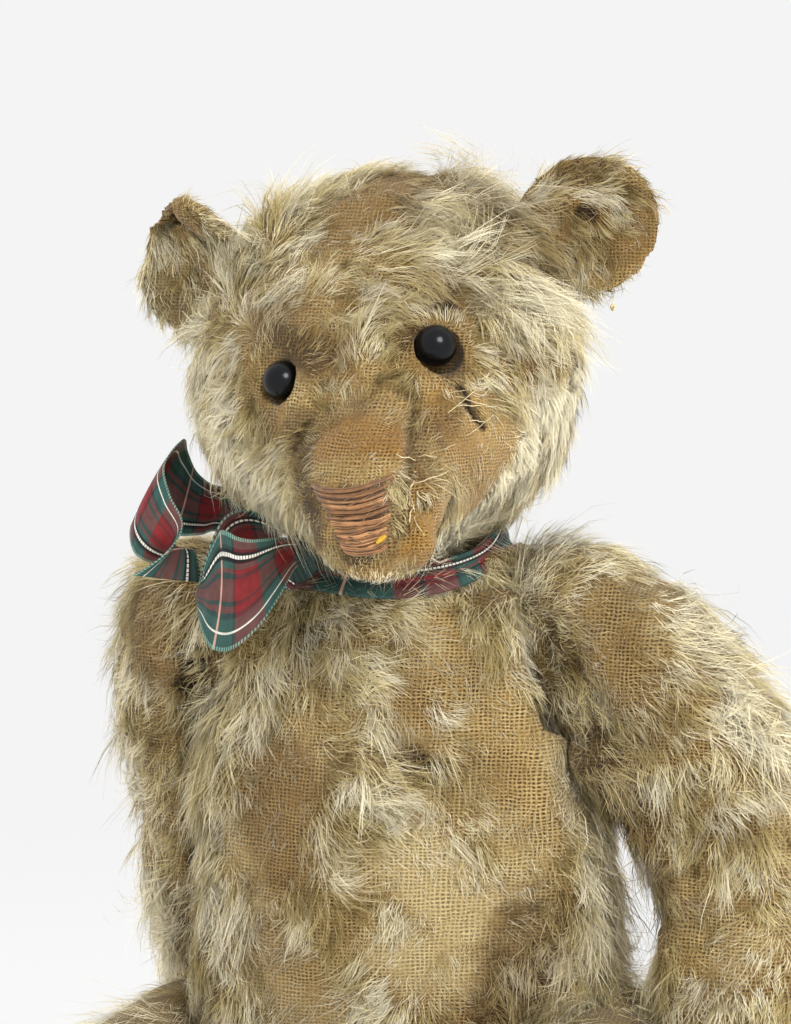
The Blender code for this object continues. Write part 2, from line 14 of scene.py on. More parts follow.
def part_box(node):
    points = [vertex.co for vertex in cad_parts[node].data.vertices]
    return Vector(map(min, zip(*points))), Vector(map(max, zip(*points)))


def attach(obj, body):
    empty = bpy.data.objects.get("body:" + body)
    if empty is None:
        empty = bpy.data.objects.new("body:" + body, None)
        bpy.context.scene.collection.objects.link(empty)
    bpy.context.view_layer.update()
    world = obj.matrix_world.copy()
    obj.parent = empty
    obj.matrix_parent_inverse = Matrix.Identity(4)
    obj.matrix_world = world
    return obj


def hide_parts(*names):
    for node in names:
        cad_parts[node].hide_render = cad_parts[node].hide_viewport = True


print("loading the frame")
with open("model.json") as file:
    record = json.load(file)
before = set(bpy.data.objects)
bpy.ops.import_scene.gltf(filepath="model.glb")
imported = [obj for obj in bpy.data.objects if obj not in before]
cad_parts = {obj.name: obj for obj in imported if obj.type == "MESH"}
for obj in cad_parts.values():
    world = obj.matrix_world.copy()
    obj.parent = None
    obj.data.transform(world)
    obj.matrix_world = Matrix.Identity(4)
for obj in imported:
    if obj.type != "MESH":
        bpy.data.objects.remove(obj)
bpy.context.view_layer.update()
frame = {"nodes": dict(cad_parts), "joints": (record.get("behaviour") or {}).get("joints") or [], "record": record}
scene = bpy.context.scene
mm = 0.001
joints = {joint["name"]: joint for joint in frame["joints"]}
neck = Vector(joints["neck"]["pos_m"])


# small helpers
def hexColour(code, alpha=1.0):
    channels = [int(code[at:at + 2], 16) / 255 for at in (0, 2, 4)]
    return tuple(c / 12.92 if c <= 0.04045 else ((c + 0.055) / 1.055) ** 2.4 for c in channels) + (alpha,)


def newMaterial(name):
    material = bpy.data.materials.new(name)
    material.use_nodes = True
    tree = material.node_tree
    return material, tree, tree.nodes["Principled BSDF"]


def addNode(tree, kind, settings=None, inputs=None):
    # inputs holds plain values, or the output sockets to link
    node = tree.nodes.new("ShaderNode" + kind)
    for name, value in (settings or {}).items():
        setattr(node, name, value)
    for name, value in (inputs or {}).items():
        if isinstance(value, bpy.types.NodeSocket):
            tree.links.new(value, node.inputs[name])
        else:
            node.inputs[name].default_value = value
    return node


def setRamp(node, stops):
    ramp = node.color_ramp
    while len(ramp.elements) > 1:
        ramp.elements.remove(ramp.elements[-1])
    for index, (position, colour) in enumerate(stops):
        element = ramp.elements[0] if index == 0 else ramp.elements.new(position)
        element.position = position
        element.color = colour


def applyModifiers(piece):
    graph = bpy.context.evaluated_depsgraph_get()
    finished = bpy.data.meshes.new_from_object(piece.evaluated_get(graph))
    piece.modifiers.clear()
    piece.data = finished


def newPiece(name, mesh, material=None):
    piece = bpy.data.objects.new(name, mesh)
    scene.collection.objects.link(piece)
    if material:
        mesh.materials.clear()
        mesh.materials.append(material)
    return piece


def meshFrom(bm, name, smooth=True):
    mesh = bpy.data.meshes.new(name)
    bm.to_mesh(mesh)
    bm.free()
    if smooth:
        mesh.shade_smooth()
    return mesh


def coordinates(mesh):
    flat = np.empty(len(mesh.vertices) * 3, np.float32)
    mesh.vertices.foreach_get("co", flat)
    return flat.reshape(-1, 3).astype(np.float64)


def vertexNormals(mesh):
    flat = np.empty(len(mesh.vertices) * 3, np.float32)
    mesh.vertex_normals.foreach_get("vector", flat)
    return flat.reshape(-1, 3).astype(np.float64)


def unit(vectors):
    return vectors / np.maximum(np.linalg.norm(vectors, axis=-1, keepdims=True), 1e-9)


def noiseAt(points, scale, seed=0.0):
    # smooth noise from about -1 to 1, one value a point
    shift = Vector((seed * 17.3, seed * 5.1, -seed * 9.7))
    return np.array([noise.noise(Vector(point) * scale + shift) for point in points])


def smoothStep(values, low, high):
    t = np.clip((values - low) / (high - low), 0, 1)
    return t * t * (3 - 2 * t)


def setAttribute(mesh, name, values):
    flat = np.ascontiguousarray(values, np.float32)
    layer = mesh.attributes.new(name, "FLOAT" if flat.ndim == 1 else "FLOAT_VECTOR", "POINT")
    layer.data.foreach_set("value" if flat.ndim == 1 else "vector", flat.ravel())


# wear, and painted shade and light, worked out on a skin
def spotOn(tree, box, share):
    # a share of the form's box: (across, up) looks for the first cloth behind it, and
    # (across, back, up) for the nearest cloth
    low, high = box
    if len(share) == 2:
        start = Vector((low[0] + share[0] * (high[0] - low[0]), low[1] - 0.05,
                        low[2] + share[1] * (high[2] - low[2])))
        hit = tree.ray_cast(start, Vector((0, 1, 0)))[0]
        if hit is not None:
            return np.array(hit)
        share = (share[0], 0.5, share[1])
    place = Vector([low[i] + share[i] * (high[i] - low[i]) for i in range(3)])
    return np.array(tree.find_nearest(place)[0])


def strokeField(points, strokes, tree, box, seed, rough=0.35):
    # 1 inside each stroke, falling to 0 at its edge; a stroke is its spots, half width and strength
    field = np.zeros(len(points))
    if not strokes:
        return field
    wobble = 1 + rough * noiseAt(points, 160, seed) + rough * noiseAt(points, 420, seed + 3)
    for spots, halfWidth, strength in strokes:
        places = [spotOn(tree, box, spot) for spot in spots]
        nearest = np.full(len(points), 1.0)
        for start, end in zip(places, places[1:] or places):
            run = end - start
            along = np.clip(((points - start) @ run) / max(run @ run, 1e-12), 0, 1)
            gap = np.linalg.norm(points - (start + along[:, None] * run), axis=1)
            nearest = np.minimum(nearest, gap)
        inside = strength * (1 - smoothStep(nearest * wobble, 0.5 * halfWidth * mm, 1.35 * halfWidth * mm))
        field = np.where(np.abs(inside) > np.abs(field), inside, field)
    return field


def combField(points, normals, combs, tree, box, fallback, reach):
    # the way the pile lies, in the surface, blended between the combed spots
    total = np.array([fallback(point) for point in points]) * 0.06
    for spot, direction in combs:
        place = spotOn(tree, box, spot)
        near = np.exp(-(np.linalg.norm(points - place, axis=1) / (reach * mm)) ** 2)
        total += near[:, None] * unit(np.array(direction, float))
    total -= normals * (total * normals).sum(1, keepdims=True)
    return unit(total)


def clothMap(mesh):
    # a UV map in metres, laid on from the side that each face turns to
    layer = mesh.uv_layers.new(name="cloth")
    count = len(mesh.loops)
    corners = np.empty(count, np.int32)
    mesh.loops.foreach_get("vertex_index", corners)
    points = coordinates(mesh)[corners]
    faceNormals = np.empty(len(mesh.polygons) * 3, np.float32)
    mesh.polygons.foreach_get("normal", faceNormals)
    sizes = np.empty(len(mesh.polygons), np.int32)
    mesh.polygons.foreach_get("loop_total", sizes)
    turned = np.repeat(np.abs(faceNormals.reshape(-1, 3)) * (0.9, 1.25, 0.8), sizes, axis=0).argmax(1)
    across = np.where(turned == 0, points[:, 1], points[:, 0])
    up = np.where(turned == 2, points[:, 1], points[:, 2])
    layer.data.foreach_set("uv", np.stack([across, up], 1).ravel().astype(np.float32))


# materials
def mathNode(tree, operation, first, second=0.0, third=0.0):
    return addNode(tree, "Math", {"operation": operation}, {0: first, 1: second, 2: third}).outputs[0]


def wovenBacking(name, pitch, holes):
    # the cotton backing of mohair plush: short tan floats of a plain weave, painted dark brown in the
    # gaps and light on the thread tops as painted shade and highlight; paler where it has been rubbed and
    # where light is painted on its edges, darker where it is stained and where shade is painted in its creases,
    # hollows and valleys, and darker and browner where the pile covers it
    material, tree, shader = newMaterial(name)
    uv = addNode(tree, "UVMap", {"uv_map": "cloth"}).outputs[0]
    drift = addNode(tree, "TexNoise", {}, {"Vector": uv, "Scale": 130.0, "Detail": 5.0,
                                           "Roughness": 0.62}).outputs["Color"]
    centred = addNode(tree, "VectorMath", {"operation": "SUBTRACT"},
                      {0: drift, 1: (0.5, 0.5, 0.5)}).outputs[0]
    pushed = addNode(tree, "VectorMath", {"operation": "SCALE"}, {0: centred, "Scale": 2.4 * mm}).outputs[0]
    laid = addNode(tree, "VectorMath", {"operation": "ADD"}, {0: uv, 1: pushed}).outputs[0]
    counted = addNode(tree, "VectorMath", {"operation": "MULTIPLY"},
                      {0: laid, 1: (1 / (pitch[0] * mm), 1 / (pitch[1] * mm), 0)}).outputs[0]
    axes = addNode(tree, "SeparateXYZ", {}, {0: counted})
    rounds = []
    for axis in (0, 1):
        turn = mathNode(tree, "MULTIPLY", axes.outputs[axis], math.pi)
        rounds.append(mathNode(tree, "ABSOLUTE", mathNode(tree, "SINE", turn)))
    over = mathNode(tree, "POWER", mathNode(tree, "MAXIMUM", *rounds), 1.9)
    height = mathNode(tree, "MULTIPLY", over, mathNode(tree, "MULTIPLY_ADD", rounds[1], 0.22, 0.78))
    fibres = addNode(tree, "TexNoise", {}, {"Vector": uv, "Scale": 1500.0, "Detail": 4.0,
                                            "Roughness": 0.75}).outputs[0]
    # noise that varies how dark the gaps are painted
    gapShadeNoise = addNode(tree, "TexNoise", {}, {"Vector": uv, "Scale": 160.0, "Detail": 3.0}).outputs[0]
    depth = addNode(tree, "MapRange", {}, {"Value": gapShadeNoise, "From Min": 0.35, "From Max": 0.65,
                                           "To Min": holes[0], "To Max": holes[1]}).outputs[0]
    woven = mathNode(tree, "MULTIPLY", mathNode(tree, "SUBTRACT", height, 0.66), depth)
    rough = mathNode(tree, "ADD", woven, mathNode(tree, "MULTIPLY_ADD", fibres, 1.5, -0.28))
    # the ramp paints the low gaps dark brown and the raised thread tops pale tan: painted shade and highlight of
    # the weave's relief, mixed with the fibres' own tones
    threads = addNode(tree, "ValToRGB", {}, {0: rough})
    setRamp(threads, [(0.0, hexColour("3E3019")), (0.2, hexColour("66512A")), (0.5, hexColour("907647")),
                      (0.95, hexColour("BFA977"))])
    colour = threads.outputs[0]
    blotch = addNode(tree, "TexNoise", {}, {"Vector": uv, "Scale": 70.0, "Detail": 6.0,
                                            "Roughness": 0.7}).outputs[0]
    mottled = mathNode(tree, "MULTIPLY_ADD", blotch, 0.9, -0.45)
    # tints from the fields: paler where rubbed and where light is painted on edges, darker where stained and where
    # shade is painted on, darker still where the dark field paints shade in creases, hollows and valleys, and
    # browner where the pile covers it
    for attribute, mode, tint, low, high, most in (
        ("pale", "SCREEN", "66624C", 0.1, 0.9, 0.8),
        ("stain", "MULTIPLY", "BEAE98", 0.1, 1.0, 0.9),
        ("ochre", "MULTIPLY", "E6CFA0", 0.1, 0.8, 0.9),
        ("dark", "MULTIPLY", "4A3A28", 0.15, 0.95, 0.95),
        ("covered", "MULTIPLY", "A09070", 0.2, 1.2, 0.9),
    ):
        amount = addNode(tree, "Attribute", {"attribute_name": attribute}).outputs["Fac"]
        mixed = mathNode(tree, "ADD", amount, mottled)
        share = addNode(tree, "MapRange", {}, {"Value": mixed, "From Min": low, "From Max": high,
                                               "To Max": most}).outputs[0]
        colour = addNode(tree, "Mix", {"data_type": "RGBA", "blend_type": mode},
                         {0: share, 6: colour, 7: hexColour(tint)}).outputs[2]
    tree.links.new(colour, shader.inputs["Base Color"])
    bump = addNode(tree, "Bump", {}, {"Height": rough, "Distance": 0.3 * mm, "Strength": 0.8})
    tree.links.new(bump.outputs[0], shader.inputs["Normal"])
    shader.inputs["Roughness"].default_value = 0.9
    shader.inputs["Sheen Weight"].default_value = 0.12
    shader.inputs["Specular IOR Level"].default_value = 0.2
    return material


def mohairPile(name):
    # mohair fibre: dark brown at the root, painted as the shade deep in the pile, olive along its length,
    # cream and a little translucent at the tip; a whole lock catches the light together, so that it looks soft
    material, tree, shader = newMaterial(name)
    facts = {key: addNode(tree, "Attribute", {"attribute_name": key}).outputs["Fac"]
             for key in ("along", "tone", "stain", "pale")}
    reached = mathNode(tree, "MULTIPLY_ADD", facts["along"], 0.46, 0.02)
    reached = mathNode(tree, "MULTIPLY_ADD", facts["tone"], 0.9, reached)
    reached = mathNode(tree, "MULTIPLY_ADD", facts["pale"], 0.34, reached)
    ramp = addNode(tree, "ValToRGB", {}, {0: reached})
    # the dark stops at the root are painted shade; tone and pale also carry painted shade between locks and in
    # creases, and painted light on edges
    setRamp(ramp, [(0.0, hexColour("46381A")), (0.2, hexColour("7E6B3E")), (0.42, hexColour("B5A168")),
                   (0.64, hexColour("DBC992")), (0.86, hexColour("F5E7BC")), (1.0, hexColour("FFF6D8"))])
    # browner where stained, and where shade is painted on
    share = mathNode(tree, "MULTIPLY", facts["stain"], 0.6)
    colour = addNode(tree, "Mix", {"data_type": "RGBA"},
                     {0: share, 6: ramp.outputs[0], 7: hexColour("896D45")}).outputs[2]
    tree.links.new(colour, shader.inputs["Base Color"])
    shader.inputs["Roughness"].default_value = 0.6
    shader.inputs["Specular IOR Level"].default_value = 0.25
    lie = addNode(tree, "Attribute", {"attribute_name": "lie"}).outputs["Vector"]
    turned = addNode(tree, "VectorTransform", {"vector_type": "NORMAL", "convert_from": "OBJECT",
                                               "convert_to": "WORLD"},
                     {0: lie}).outputs[0]
    tree.links.new(turned, shader.inputs["Normal"])
    glow = addNode(tree, "BsdfTranslucent", {}, {"Color": colour, "Normal": turned}).outputs[0]
    both = addNode(tree, "MixShader", {}, {0: 0.4, 1: shader.outputs[0], 2: glow}).outputs[0]
    tree.links.new(both, tree.nodes["Material Output"].inputs[0])
    return material


def plainMaterial(name, code, roughness, metallic=0.0, **more):
    material, tree, shader = newMaterial(name)
    shader.inputs["Base Color"].default_value = hexColour(code)
    shader.inputs["Roughness"].default_value = roughness
    shader.inputs["Metallic"].default_value = metallic
    for key, value in more.items():
        shader.inputs[key].default_value = value
    return material, tree, shader


def speckled(name, dark, light, scale, roughness, metallic=0.0, bump=0.1):
    # a matt surface with fine mixed tones, as of felt, board or dull wire
    material, tree, shader = plainMaterial(name, light, roughness, metallic)
    place = addNode(tree, "TexCoord").outputs["Object"]
    grain = addNode(tree, "TexNoise", {}, {"Vector": place, "Scale": scale, "Detail": 5.0,
                                           "Roughness": 0.7}).outputs[0]
    ramp = addNode(tree, "ValToRGB", {}, {0: grain})
    setRamp(ramp, [(0.3, hexColour(dark)), (0.7, hexColour(light))])
    tree.links.new(ramp.outputs[0], shader.inputs["Base Color"])
    raised = addNode(tree, "Bump", {}, {"Height": grain, "Distance": bump * mm, "Strength": 0.7})
    tree.links.new(raised.outputs[0], shader.inputs["Normal"])
    return material


def noseThread(name):
    # six-strand cotton floss: copper faded to salmon, each stitch its own tone, grimy between
    material, tree, shader = plainMaterial(name, "B07A58", 0.55)
    tone = addNode(tree, "Attribute", {"attribute_name": "tone"}).outputs["Fac"]
    ramp = addNode(tree, "ValToRGB", {}, {0: tone})
    setRamp(ramp, [(0.0, hexColour("573A20")), (0.5, hexColour("8C6138")), (1.0, hexColour("C48F5E"))])
    place = addNode(tree, "TexCoord").outputs["Object"]
    dirt = addNode(tree, "TexNoise", {}, {"Vector": place, "Scale": 420.0, "Detail": 4.0}).outputs[0]
    shade = addNode(tree, "MapRange", {}, {"Value": dirt, "From Min": 0.35, "From Max": 0.65, "To Min": 0.7,
                                           "To Max": 1.15}).outputs[0]
    colour = addNode(tree, "HueSaturation", {}, {"Value": shade, "Color": ramp.outputs[0]}).outputs[0]
    tree.links.new(colour, shader.inputs["Base Color"])
    shader.inputs["Sheen Weight"].default_value = 0.2
    return material


ribbonWidth = 30.0


def tartanRibbon(name):
    # woven ribbon: red and teal checks, one thin and one ticked white line along it, pink-white
    # lines across it, and green selvedges; v runs across it and u along it, in metres
    material, tree, shader = plainMaterial(name, "7E2C2A", 0.62)
    uv = addNode(tree, "UVMap", {"uv_map": "cloth"}).outputs[0]
    axes = addNode(tree, "SeparateXYZ", {}, {0: uv})
    along, across = axes.outputs[0], mathNode(tree, "DIVIDE", axes.outputs[1], ribbonWidth * mm)
    repeat = mathNode(tree, "FRACT", mathNode(tree, "DIVIDE", along, 66 * mm))
    teal, red, dark, black = "2F4D47", "761C1E", "20282A", "101314"
    warp = addNode(tree, "ValToRGB", {}, {0: across})
    weft = addNode(tree, "ValToRGB", {}, {0: repeat})
    for ramp, stops in (
        (warp, ((0, teal), (0.26, dark), (0.31, red), (0.37, dark), (0.41, red), (0.60, dark), (0.65, red),
                (0.69, teal),
                (0.745, black), (0.86, black), (0.885, teal))),
        (weft, ((0, teal), (0.10, red), (0.22, dark), (0.24, red), (0.40, dark), (0.42, teal), (0.55, red),
                (0.72, dark),
                (0.74, teal))),
    ):
        ramp.color_ramp.interpolation = "CONSTANT"
        setRamp(ramp, [(position, hexColour(code)) for position, code in stops])
    twill = mathNode(tree, "FRACT", mathNode(tree, "MULTIPLY", mathNode(tree, "ADD", along, axes.outputs[1]),
                                             1 / (0.9 * mm)))
    half = addNode(tree, "MapRange", {}, {"Value": twill, "From Min": 0.3, "From Max": 0.7, "To Min": 0.3,
                                          "To Max": 0.7}).outputs[0]
    colour = addNode(tree, "Mix", {"data_type": "RGBA"},
                     {0: half, 6: warp.outputs[0], 7: weft.outputs[0]}).outputs[2]
    ticks = mathNode(tree, "GREATER_THAN", mathNode(tree, "FRACT",
                                                    mathNode(tree, "DIVIDE", along, 1.4 * mm)), 0.25)
    stitches = mathNode(tree, "GREATER_THAN", mathNode(tree, "FRACT",
                                                       mathNode(tree, "DIVIDE", along, 1.1 * mm)), 0.45)
    unbroken = 1.0
    lines = (
        (repeat, (0.861, 0.876), "C99C88", unbroken, 0.8),
        (across, (0.752, 0.855), black, unbroken, 0.9),
        (across, (0.138, 0.157), "CFCCBE", unbroken, 0.9),
        (across, (0.787, 0.823), "DCD9CC", ticks, 1.0),
        (across, (-0.1, 0.035), "7FA391", stitches, 0.85),
        (across, (0.965, 1.1), "7FA391", stitches, 0.85),
    )
    for value, (low, high), code, mask, most in lines:
        inside = mathNode(tree, "MULTIPLY", mathNode(tree, "GREATER_THAN", value, low),
                          mathNode(tree, "LESS_THAN", value, high))
        share = mathNode(tree, "MULTIPLY", mathNode(tree, "MULTIPLY", inside, mask), most)
        colour = addNode(tree, "Mix", {"data_type": "RGBA"},
                         {0: share, 6: colour, 7: hexColour(code)}).outputs[2]
    worn = addNode(tree, "TexNoise", {}, {"Vector": uv, "Scale": 300.0, "Detail": 5.0}).outputs[0]
    shade = addNode(tree, "MapRange", {}, {"Value": worn, "From Min": 0.3, "From Max": 0.7, "To Min": 0.75,
                                           "To Max": 1.1}).outputs[0]
    colour = addNode(tree, "HueSaturation", {}, {"Value": shade, "Color": colour}).outputs[0]
    tree.links.new(colour, shader.inputs["Base Color"])
    raised = addNode(tree, "Bump", {}, {"Height": half, "Distance": 0.12 * mm, "Strength": 0.6})
    tree.links.new(raised.outputs[0], shader.inputs["Normal"])
    shader.inputs["Specular IOR Level"].default_value = 0.3
    return material


print("mixing the materials")
materials = {
    "backing": wovenBacking("worn cotton backing weave", (1.3, 1.05), (0.4, 1.2)),
    "fine backing": wovenBacking("worn cotton backing, rubbed fine", (1.15, 0.95), (0.12, 0.95)),
    "pile": mohairPile("faded mohair pile"),
    "felt": speckled("worn wool felt", "8E7550", "A88D62", 420.0, 0.95, bump=0.15),
    "board": speckled("hard fibre board", "6A4B2E", "8C6A45", 300.0, 0.85),
    "steel": speckled("dull steel", "75716B", "9A968F", 800.0, 0.5, 1.0),
    "button": plainMaterial("black boot button", "060709", 0.2, 0.0, **{"Specular IOR Level": 0.26})[0],
    "floss": noseThread("copper cotton floss"),
    "cotton": speckled("pale frayed cotton", "A58E62", "E3D6B0", 900.0, 0.9),
    "mustard": speckled("mustard thread end", "A8801C", "D2A836", 900.0, 0.9),
    # stuffing in the tear, painted dark brown as the shade inside it
    "hollow": plainMaterial("stuffing in the tear, painted in shade", "33261A", 1.0)[0],
    "tartan": tartanRibbon("worn tartan ribbon"),
}
slotMaterials = {"boot_button": "button", "dull_steel": "steel", "fibre_board": "board", "wool_felt": "felt",
                 "nose_thread": "floss"}


# skins
def addPlug(bm, jointName, side, radius):
    # fills a joint's pocket, so that the cloth runs over it
    joint = joints[jointName]
    axis = Vector(joint["axis"]) * side
    turn = Vector((0, 0, 1)).rotation_difference(axis).to_matrix().to_4x4()
    depth = 11.5 * mm
    middle = Vector(joint["pos_m"]) + axis * (depth / 2 + 0.3 * mm)
    bmesh.ops.create_cone(bm, cap_ends=True, segments=32, radius1=radius * mm, radius2=radius * mm,
                          depth=depth, matrix=Matrix.Translation(middle) @ turn)


def skinOf(name, form):
    # the frame's form as one closed, evenly meshed cloth skin
    bm = bmesh.new()
    for node in form["nodes"]:
        bm.from_mesh(frame["nodes"][node].data)
    bmesh.ops.remove_doubles(bm, verts=bm.verts, dist=0.001 * mm)
    for plug in form.get("plugs", ()):
        addPlug(bm, *plug)
    skin = newPiece(name, meshFrom(bm, name), materials["backing"])
    remesh = skin.modifiers.new("even cloth", "REMESH")
    remesh.mode = "VOXEL"
    remesh.voxel_size = form["voxel"] * mm
    applyModifiers(skin)
    bm = bmesh.new()
    bm.from_mesh(skin.data)
    for _ in range(form.get("smoothing", 3)):
        bmesh.ops.smooth_vert(bm, verts=bm.verts, factor=0.5, use_axis_x=True, use_axis_y=True,
                              use_axis_z=True)
    skin.data = meshFrom(bm, name)
    skin.data.materials.clear()
    skin.data.materials.append(form.get("cloth") or materials["backing"])
    return skin


def moveSkin(skin, points):
    points[:, 2] = np.maximum(points[:, 2], 0.05 * mm)
    skin.data.vertices.foreach_set("co", points.astype(np.float32).ravel())
    skin.data.update()


# the pale field is partly painted light on outlines, the field for stains also holds some painted shade, and the
# dark field is mostly painted shade in creases, hollows and the valleys between parts
fieldKinds = ("bare", "thin", "pale", "stain", "tuft", "long", "short", "dark", "ochre", "dent", "swell",
              "fringe")


def nearJoint(points, plugs):
    # 1 on the flat faces where two forms meet, falling to 0 a little way off them
    near = np.zeros(len(points))
    for jointName, *_ in plugs:
        joint = joints[jointName]
        axis = unit(np.array(joint["axis"]))
        away = points - np.array(joint["pos_m"])
        height = np.abs(away @ axis)
        radius = np.linalg.norm(away - np.outer(away @ axis, axis), axis=1)
        reach = {"neck": 34, "shoulder_right": 27, "shoulder_left": 27}.get(jointName, 36) * mm
        near = np.maximum(near, (1 - smoothStep(height, 1.0 * mm, 5.0 * mm)) * (radius < reach))
    return near


def wearAndShadeSkin(skin, wear):
    # works out the worn places of a skin, and where shade and light are painted on it, as fields that
    # its cloth and its pile both read, and settles the cloth under its pile, over its lumps and into its dents
    mesh = skin.data
    points, normals = coordinates(mesh), vertexNormals(mesh)
    tree = BVHTree.FromPolygons([Vector(p) for p in points], [p.vertices for p in mesh.polygons])
    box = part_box(wear["nodes"][0])
    seed = wear["seed"]
    fields = {kind: strokeField(points, wear.get(kind, ()), tree, box, seed + index * 7,
                                0.1 if kind in ("dent", "swell") else 0.35)
              for index, kind in enumerate(fieldKinds)}
    age = smoothStep(noiseAt(points, 38, seed) + 0.5 * noiseAt(points, 95, seed + 2), 0.1, 0.8)
    fields["thin"] = np.maximum(fields["thin"], wear.get("age", 0.55) * age)
    fields["stain"] = np.maximum(fields["stain"], 0.25 * smoothStep(noiseAt(points, 70, seed + 5), 0.1, 0.7))
    fields["pale"] = np.maximum(fields["pale"], 0.5 * smoothStep(noiseAt(points, 45, seed + 6), -0.3, 0.6))
    fields["woolly"] = np.full(len(points), wear.get("woolly", 1.0))
    fields["patch"] = noiseAt(points, 110, seed + 8) + 0.9 * noiseAt(points, 260, seed + 4)
    comb = combField(points, normals, wear["combs"], tree, box, wear["fallback"], wear["reach"])
    bend = wear.get("swirl", 0.55) * (noiseAt(points, 60, seed + 9) + 0.5 * noiseAt(points, 150, seed + 12))
    comb = comb * np.cos(bend)[:, None] + np.cross(normals, comb) * np.sin(bend)[:, None]
    fields["comb"] = unit(comb)
    covered = (1 - fields["bare"]) * (1 - 0.6 * fields["thin"]) * (1 - 0.5 * fields["short"])
    rise = wear["lumps"] * (noiseAt(points, 55, 1) + 0.45 * noiseAt(points, 130, 2))
    rise += fields["swell"] - wear["inset"] * covered - fields["dent"] * wear.get("dentDepth", 1.6)
    meeting = nearJoint(points, wear.get("plugs", ()))
    rise *= 1 - meeting
    moveSkin(skin, points + normals * (rise * mm)[:, None])
    fields["points"], fields["normals"] = coordinates(mesh), vertexNormals(mesh)
    fields["density"] = np.clip((1 - 0.9 * fields["bare"]) * (1 - 0.7 * fields["thin"]), 0.04,
                                1) * (meeting < 0.97)
    fields["density"] *= 1 + 0.9 * fields["fringe"]
    for node in wear.get("clear", ()):
        low, high = (np.array(corner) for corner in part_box(node))
        out = fields["points"] - (low + high) / 2
        away = np.linalg.norm(out, axis=1) / (high[2] - low[2])
        beside = (1 - smoothStep(away, 0.8, 1.5))[:, None]
        out = unit(out - fields["normals"] * (out * fields["normals"]).sum(1)[:, None])
        fields["comb"] = unit(fields["comb"] * (1 - beside) + out * beside * 1.5)
        fields["short"] = np.maximum(fields["short"], 0.75 * beside[:, 0])
        fields["density"] *= away > 0.66
    for kind in ("pale", "stain", "ochre", "dark"):
        setAttribute(mesh, kind, fields[kind])
    setAttribute(mesh, "covered", covered)
    clothMap(mesh)
    return fields


# pile
def plantTufts(fields, triangles, spacing, rng):
    # the middles of the tufts, each with its own lean, lift, length and tone
    corners = fields["points"][triangles]
    areas = np.linalg.norm(np.cross(corners[:, 1] - corners[:, 0], corners[:, 2] - corners[:, 0]), axis=1) / 2
    count = max(3, int(areas.sum() / (spacing * mm) ** 2))
    chosen = triangles[rng.choice(len(triangles), count, p=areas / areas.sum()), 0]
    finder = kdtree.KDTree(count)
    for index, place in enumerate(fields["points"][chosen]):
        finder.insert(place, index)
    finder.balance()
    return {"finder": finder, "rows": chosen, "swing": rng.normal(0, 0.27, count),
            "bend": rng.normal(0, 0.55, count), "lift": rng.normal(0, 0.16, count),
            "long": np.clip(rng.normal(1, 0.22, count), 0.55, 1.5), "tone": rng.random(count),
            "spacing": spacing * mm}


